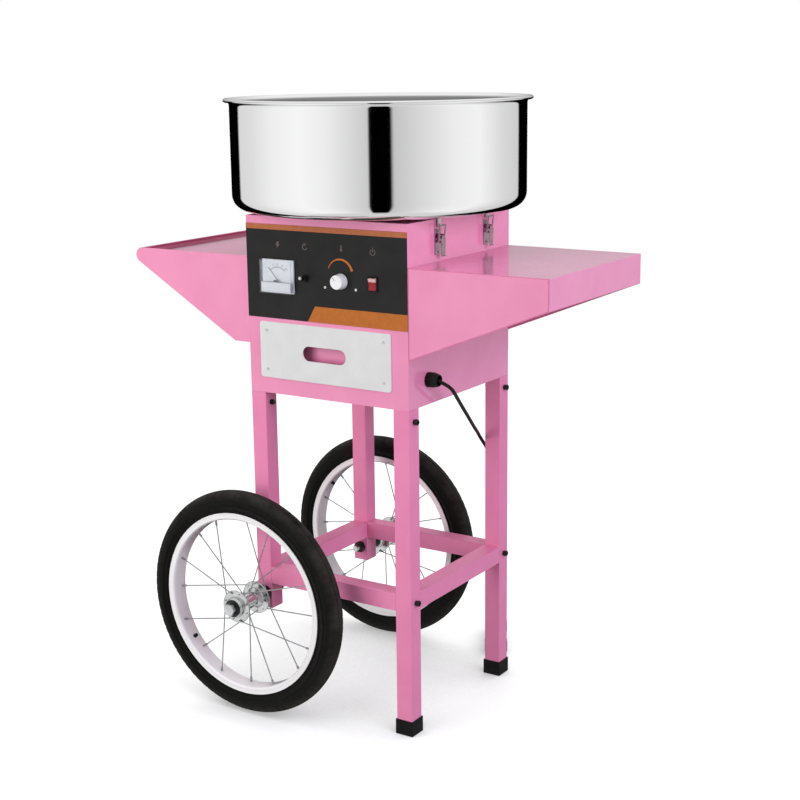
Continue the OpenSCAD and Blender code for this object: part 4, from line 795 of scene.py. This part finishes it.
# Toggle switch: a threaded bush with a hex nut on the panel, a moulded block behind it, and a turned
# lever with a round tip that tips in the bush.
dressed("toggle_body", black_plastic, 0.4, 2, 5)
control_z, tilt, ball_r, tip_r, lever_l = 767, radians(11), 2.8, 3.4, 10
lever_line = [(ball_r * sin(radians(a)), -ball_r * cos(radians(a))) for a in range(0, 141, 14)]
lever_line += [(1.5, 3.2), (2.0, 5.0), (2.2, 7.2)]
lever_line += [(tip_r * sin(radians(a)), lever_l - tip_r * cos(radians(a))) for a in range(42, 181, 12)]
toggle_lever = turned("toggle_bat", lever_line + [(0, lever_l + tip_r)], foot=(-39, face_y - 4.2, control_z),
                      axis=(0, -cos(tilt), sin(tilt)), steps=32, ring=False)
fitted(toggle_lever, chrome, "toggle", ("toggle_lever",))

# Heat knob: a white moulded knob with a dished top and a fine line for its pointer, pressed on the
# shaft of a potentiometer that is nutted through the panel.
knob_white = cloudy("white_knob_plastic", (10, 3, (0.76, 0.76, 0.75), (0.82, 0.82, 0.81)),
                    (2, 4, 0.3, 0.42), Specular_IOR_Level=0.5)
knob_line = eased([(10, 0.6), (13, 0.6, 0.4), (12.8, 2.6, 0.3), (11.6, 15.6, 1.4), (9.6, 15.2, 1), (0, 14.8)])
knob_line = [(0, 8.4), (10, 8.2)] + knob_line
knob_foot = Vector((33, face_y, control_z))
knob = turned("heat_knob", knob_line, foot=knob_foot, axis=(0, -1, 0), steps=72, ring=False)
pointer = block("knob_pointer", (32.5, face_y - 15.5, 771), (33.5, face_y - 14.6, 778), 0.2)
settled(pointer, Matrix.Translation(knob_foot * MM) @ Matrix.Rotation(radians(-45), 4, "Y")
        @ Matrix.Translation(-knob_foot * MM))
shaft = turned("knob_shaft", [(0, -8), (3, -8), (3, 9), (0, 9)], foot=knob_foot, axis=(0, -1, 0), steps=24,
               ring=False)
fitted(knob, knob_white, "knob", ("control_knob",))
fitted(pointer, needle_grey, "knob")
fitted(shaft, zinc, "knob")
dressed("pot_body", zinc, 0.3, 2, 5)

# Power rocker: a red rocker in a black moulded frame, snapped into the panel. Its halves slope to the
# middle, and its upper end is painted pale pinkish white: a painted highlight.
dressed("rocker_housing", black_plastic, 0.4, 2, 5)
rocker_red = new_finish("red_rocker_plastic", Specular_IOR_Level=0.3, Coat_Weight=0.15, Coat_Roughness=0.08)
# The upper end is painted pale: a painted highlight.
painted_highlight_end = ranged(rocker_red, reach(rocker_red, (0, 0, 0), (0, 0, 1)), 0.7700, 0.7712)
tint(rocker_red, painted_highlight_end, (0.28, 0.006, 0.016), (0.72, 0.43, 0.44), (0, 1))
polish(rocker_red, mottle(rocker_red, 2, 3), 0.22, 0.34)
dressed("rocker_button", rocker_red, 0.5, 3, 4, body="rocker")

# Drawer: a folded pink drawer on two runners, with a white lacquered face plate on its front. The
# plate has a long finger slot, and four small screws hold it.
plate_white = cloudy("white_plate_lacquer", (35, 5, (0.645, 0.645, 0.63), (0.685, 0.685, 0.67)),
                     (6, 4, 0.34, 0.48), (2.2, 2, 0.012), Specular_IOR_Level=0.45)
dressed("drawer_front", plate_white, 0.5, 3, 0.4, lambda a, b: max(a.y, b.y) < -166.9,
        body="drawer")
dressed("drawer_box", pink_paint, 0.3, 2, 10, body="drawer")
dressed("drawer_screws", zinc, 0, body="drawer")
dressed("drawer_runners", zinc, 0.4, 2, 20)


# Drive: a motor hung under the box's top on four rubber mounts, its shaft, two slip rings with their
# brushes, and the board that sets the heat. They are standard parts, bolted in.
def painted(node, finish):
    """A CAD piece that keeps its shape, with a better finish."""
    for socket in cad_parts[node].material_slots:
        socket.material = finish


motor_iron = cloudy("cast_motor_iron", (8, 4, (0.06, 0.065, 0.07), (0.10, 0.105, 0.11)), (3, 3, 0.45, 0.65),
                    (1.5, 3, 0.12), Metallic=0.3)
copper = cloudy("turned_copper", (4, 3, (0.62, 0.30, 0.16), (0.76, 0.40, 0.24)), (1, 3, 0.2, 0.38),
                Metallic=1.0)
board_green = cloudy("board_lacquer", (3, 4, (0.010, 0.075, 0.030), (0.020, 0.115, 0.050)),
                     (2, 3, 0.25, 0.4), Specular_IOR_Level=0.5)
for node, finish in (("motor", motor_iron), ("motor_mounts", rubber), ("motor_shaft", zinc),
                     ("slip_rings", copper), ("brush_block", black_plastic), ("control_board", board_green)):
    painted(node, finish)

# Head: a turned aluminium floor on the shaft, a slotted heater band and a cap with a lip, where the
# sugar goes in. Three posts hold the cap over the band.
head_metal = cloudy("turned_aluminium", (30, 3, (0.68, 0.69, 0.70), (0.78, 0.79, 0.80)), (4, 5, 0.2, 0.36),
                    Metallic=1.0)
painted("spinner_base", head_metal)
heater = cloudy("heat_tinted_band", (10, 4, (0.26, 0.20, 0.15), (0.40, 0.32, 0.25)), (3, 4, 0.3, 0.5),
                Metallic=1.0)
painted("heater_ring", heater)
cap_line = eased([(27, 952), (60, 952, 1), (60, 955, 1.2), (31, 955.4, 2.5), (29, 958, 1), (29.4, 966, 0.8),
                  (27, 966, 0.8)])
head_cap = turned("head_cap", cap_line, steps=128)
fitted(head_cap, head_metal, "spinner", ("spinner_cap",))

# Pan: a spun bowl of polished stainless steel, 520 across, with a collar round the head, a round lower
# corner and a rolled rim. Its inner wall is painted darker high up: a painted dark reflection. It stands
# on a rubber ring and lifts off when its latches are open.
mirror_steel = new_finish("polished_stainless", Metallic=1.0)
polish(mirror_steel, mottle(mirror_steel, 3, 5, (1, 1, 8)), 0.025, 0.06)
# High up, the inner wall is painted darker: a painted dark reflection.
inside = ranged(mirror_steel, reach(mirror_steel, (0, 0, 0), (1, 1, 0)), 0.2497, 0.2493)
high_up = ranged(mirror_steel, reach(mirror_steel, (0, 0, 0), (0, 0, 1)), 0.91, 0.93)
inner_wall_painted_dark = reckoned(mirror_steel, "MULTIPLY", inside, high_up)
tint(mirror_steel, inner_wall_painted_dark, (0.90, 0.90, 0.905), (0.44, 0.44, 0.445), (0, 1))
relief(mirror_steel, mottle(mirror_steel, 60, 1), 0.012)
pan_r, wall, corner_r, corner_z, bead_r = 250, 1, 26, 898, 3


def pan_corner(r, turns):
    return [(pan_r - corner_r + r * cos(radians(a)), corner_z + r * sin(radians(a))) for a in turns]


pan_line = [(75, 900), (75, 873.5), (76, 872.4), (78, 872)]
pan_line += pan_corner(corner_r, range(-90, 1, 6))
pan_line += [(pan_r, z) for z in (920, 960, 1000, 1044)] + [(250.4, 1047), (251.6, 1049.2), (253.6, 1050.2)]
pan_line += [(257 + bead_r * cos(radians(a)), 1053 + bead_r * sin(radians(a))) for a in range(-135, 136, 15)]
pan_line += [(253.4, 1054.6), (251, 1053), (249.6, 1050.4)]
pan_line += [(pan_r - wall, z) for z in (1046.5, 1000, 960, 920)]
pan_line += pan_corner(corner_r - wall, range(0, -91, -6))
pan_line += [(79, 873), (77, 873.8), (76, 875.5), (76, 900), (75.5, 900.4)]
pan = turned("spun_pan", pan_line, steps=256)
fitted(pan, mirror_steel, "pan_unit", ("pan",))
dressed("pan_catches", zinc, 0.4, 2, 4, body="pan_unit")
seat_line = eased([(122, box_top), (138, box_top, 1), (138, 872, 2), (122, 872, 2)])
seat = turned("pan_seat_ring", seat_line, steps=128)
fitted(seat, rubber, stands_for=("pan_seat",))

# Latches: four draw latches riveted to the box's sides, each a plate with ears, a lever that hinges in
# them and a wire bail that pulls the pan's hook down. They are pressed steel, plated and coloured dark
# pink: a painted reflection of the box's pink sides, with painted shade.
# Dark pink plating: a painted reflection of the box's pink sides, with painted shade.
latch_steel = cloudy("latch_plating_painted_reflection", (9, 4, (0.34, 0.22, 0.28), (0.46, 0.33, 0.39)),
                     (3, 4, 0.10, 0.24), Metallic=1.0)
dressed("latch_bases", latch_steel, 0.3, 2, 3)
for corner in ("fr", "rr", "fl", "rl"):
    dressed("latch_lever_" + corner, latch_steel, 0.3, 2, 3, body="lever_" + corner)
    dressed("latch_bail_" + corner, latch_steel, 0, body="bail_" + corner)
rivet_line, plate_foot = [(0, 1.3), (2.3, 1.3), (2.3, 1.7), (1.9, 2.3), (1.1, 2.7), (0, 2.8)], 808
for hand, side in (("l", -1), ("r", 1)):
    for end, y in (("f", -74), ("r", 83)):
        for up in (3.5, 38.5):
            rivet = turned("latch_rivet_%s%s_%d" % (end, hand, up), rivet_line, axis=(side, 0, 0), steps=20,
                           foot=(half_wide * side, y, plate_foot + up), ring=False)
            fitted(rivet, latch_steel)

# Stage: a white floor and a white studio round it. The floor keeps the lamps' faint shadows, and the
# cart's soft shadow is painted into its glow, fading towards the back. Mirrors see that studio's soft
# greys, and its dark ends behind the camera and behind the cart.
bpy.ops.object.select_all(action="DESELECT")
bpy.ops.mesh.primitive_circle_add(vertices=96, radius=3.2, fill_type="NGON", location=(0, 0, 0))
floor = bpy.context.object
floor.name = "studio_floor"
floor.visible_glossy = False
paper = new_finish("white_paper", Base_Color=(0.22, 0.22, 0.22, 1), Roughness=0.9, Specular_IOR_Level=0.0,
                   Emission_Color=(1, 1, 1, 1))
nodes, links = paper.node_tree.nodes, paper.node_tree.links
rays = nodes.new("ShaderNodeLightPath").outputs
seen = reckoned(paper, "MAXIMUM", rays["Is Camera Ray"], rays["Is Glossy Ray"])
seen = reckoned(paper, "MAXIMUM", seen, rays["Is Transmission Ray"])
# Where the cart hides the sky, the floor's glow is dimmed, less so towards the back: a painted shadow.
open_sky = nodes.new("ShaderNodeAmbientOcclusion")
open_sky.samples = 16
open_sky.inputs["Distance"].default_value = 1.2
depth = nodes.new("ShaderNodeSeparateXYZ")
links.new(nodes.new("ShaderNodeTexCoord").outputs["Object"], depth.inputs["Vector"])
faded = nodes.new("ShaderNodeMix")
faded.inputs["A"].default_value = 1.0
links.new(ranged(paper, depth.outputs["Y"], 0.15, 0.45, 1, 0.4), faded.inputs["Factor"])
links.new(open_sky.outputs["AO"], faded.inputs["B"])
shade = ranged(paper, faded.outputs["Result"], 0.30, 0.83, 0.37, 0.98)
links.new(reckoned(paper, "MULTIPLY", shade, seen), nodes["Principled BSDF"].inputs["Emission Strength"])
floor.data.materials.append(paper)


def banded(finish, value, stops):
    """Greys along a value, from stops that give a place and a grey each."""
    ramp = finish.node_tree.nodes.new("ShaderNodeValToRGB")
    while len(ramp.color_ramp.elements) < len(stops):
        ramp.color_ramp.elements.new(1.0)
    for stop, (place, grey) in zip(ramp.color_ramp.elements, stops):
        stop.position = place
        stop.color = (grey, grey, grey, 1)
    finish.node_tree.links.new(value, ramp.inputs["Fac"])
    return ramp.outputs["Color"]


def mixed(finish, share, *colours):
    """Goes from one colour to another by a share. Each is a plain grey or comes from another node."""
    mix = finish.node_tree.nodes.new("ShaderNodeMix")
    mix.data_type = "RGBA"
    finish.node_tree.links.new(share, mix.inputs["Factor"])
    for socket, colour in zip((mix.inputs[6], mix.inputs[7]), colours):
        if isinstance(colour, float):
            socket.default_value = (colour, colour, colour, 1)
        else:
            finish.node_tree.links.new(colour, socket)
    return mix.outputs[2]


studio = bpy.context.scene.world or bpy.data.worlds.new("studio")
bpy.context.scene.world = studio
studio.use_nodes = True
nodes, links = studio.node_tree.nodes, studio.node_tree.links
around = nodes.new("ShaderNodeTexCoord").outputs["Generated"]
turn = nodes.new("ShaderNodeMapping")
turn.inputs["Rotation"].default_value = (0, 0, radians(56.4))
round_about = nodes.new("ShaderNodeTexGradient")
round_about.gradient_type = "RADIAL"
links.new(around, turn.inputs["Vector"])
links.new(turn.outputs["Vector"], round_about.inputs["Vector"])
bands = [(-180, 0.0), (-136, 0.0), (-134, 0.74), (-112, 0.80), (-88, 0.95), (-62, 1.02), (-40, 0.93),
         (-20, 0.75), (-8.5, 0.65), (-7, 0.0), (9, 0.0), (10.5, 0.60), (30, 0.74), (58, 0.93), (82, 0.98),
         (108, 0.76), (134, 0.66), (136, 0.0), (180, 0.0)]
walls = banded(studio, round_about.outputs["Fac"], [(0.5 + angle / 360, grey) for angle, grey in bands])
parts = nodes.new("ShaderNodeSeparateXYZ")
links.new(around, parts.inputs["Vector"])
rise = parts.outputs["Z"]
overhead = banded(studio, rise, [(0.0, 0.22), (0.15, 0.55), (0.35, 0.68), (0.62, 0.92), (1.0, 0.92)])
mirrored = mixed(studio, ranged(studio, rise, -0.03, 0.03), walls, overhead)
mirrored = mixed(studio, ranged(studio, rise, -0.93, -0.82, 1.0, 0.0), mirrored, 0.7)
rays = nodes.new("ShaderNodeLightPath").outputs
light = mixed(studio, rays["Is Glossy Ray"], 0.36, mirrored)
straight = reckoned(studio, "MAXIMUM", rays["Is Camera Ray"], rays["Is Transmission Ray"])
links.new(mixed(studio, straight, light, 1.0), nodes["Background"].inputs["Color"])
nodes["Background"].inputs["Strength"].default_value = 1.0


def lamp(name, at, to, size, power, hue=(1, 1, 1)):
    """A square soft box that isn't seen in mirrors."""
    bpy.ops.object.select_all(action="DESELECT")
    bpy.ops.object.light_add(type="AREA", location=at)
    box = bpy.context.object
    box.name = name
    box.data.size = size
    box.data.energy = power
    box.data.color = hue
    box.rotation_mode = "QUATERNION"
    box.rotation_quaternion = (Vector(to) - Vector(at)).to_track_quat("-Z", "Y")
    box.visible_glossy = False


lamp("key_box", (-1.45, -3.0, 1.35), (0, 0, 0.6), 2.6, 89)
lamp("fill_box", (3.1, -0.6, 1.6), (0, 0, 0.55), 2.0, 68, (0.98, 0.96, 1.16))
lamp("top_box", (0.3, -0.3, 3.4), (0.1, 0, 0.6), 2.4, 27, (0.97, 0.98, 1.16))
lamp("back_box", (-1.0, 3.3, 1.7), (0, 0, 0.6), 2.2, 42)
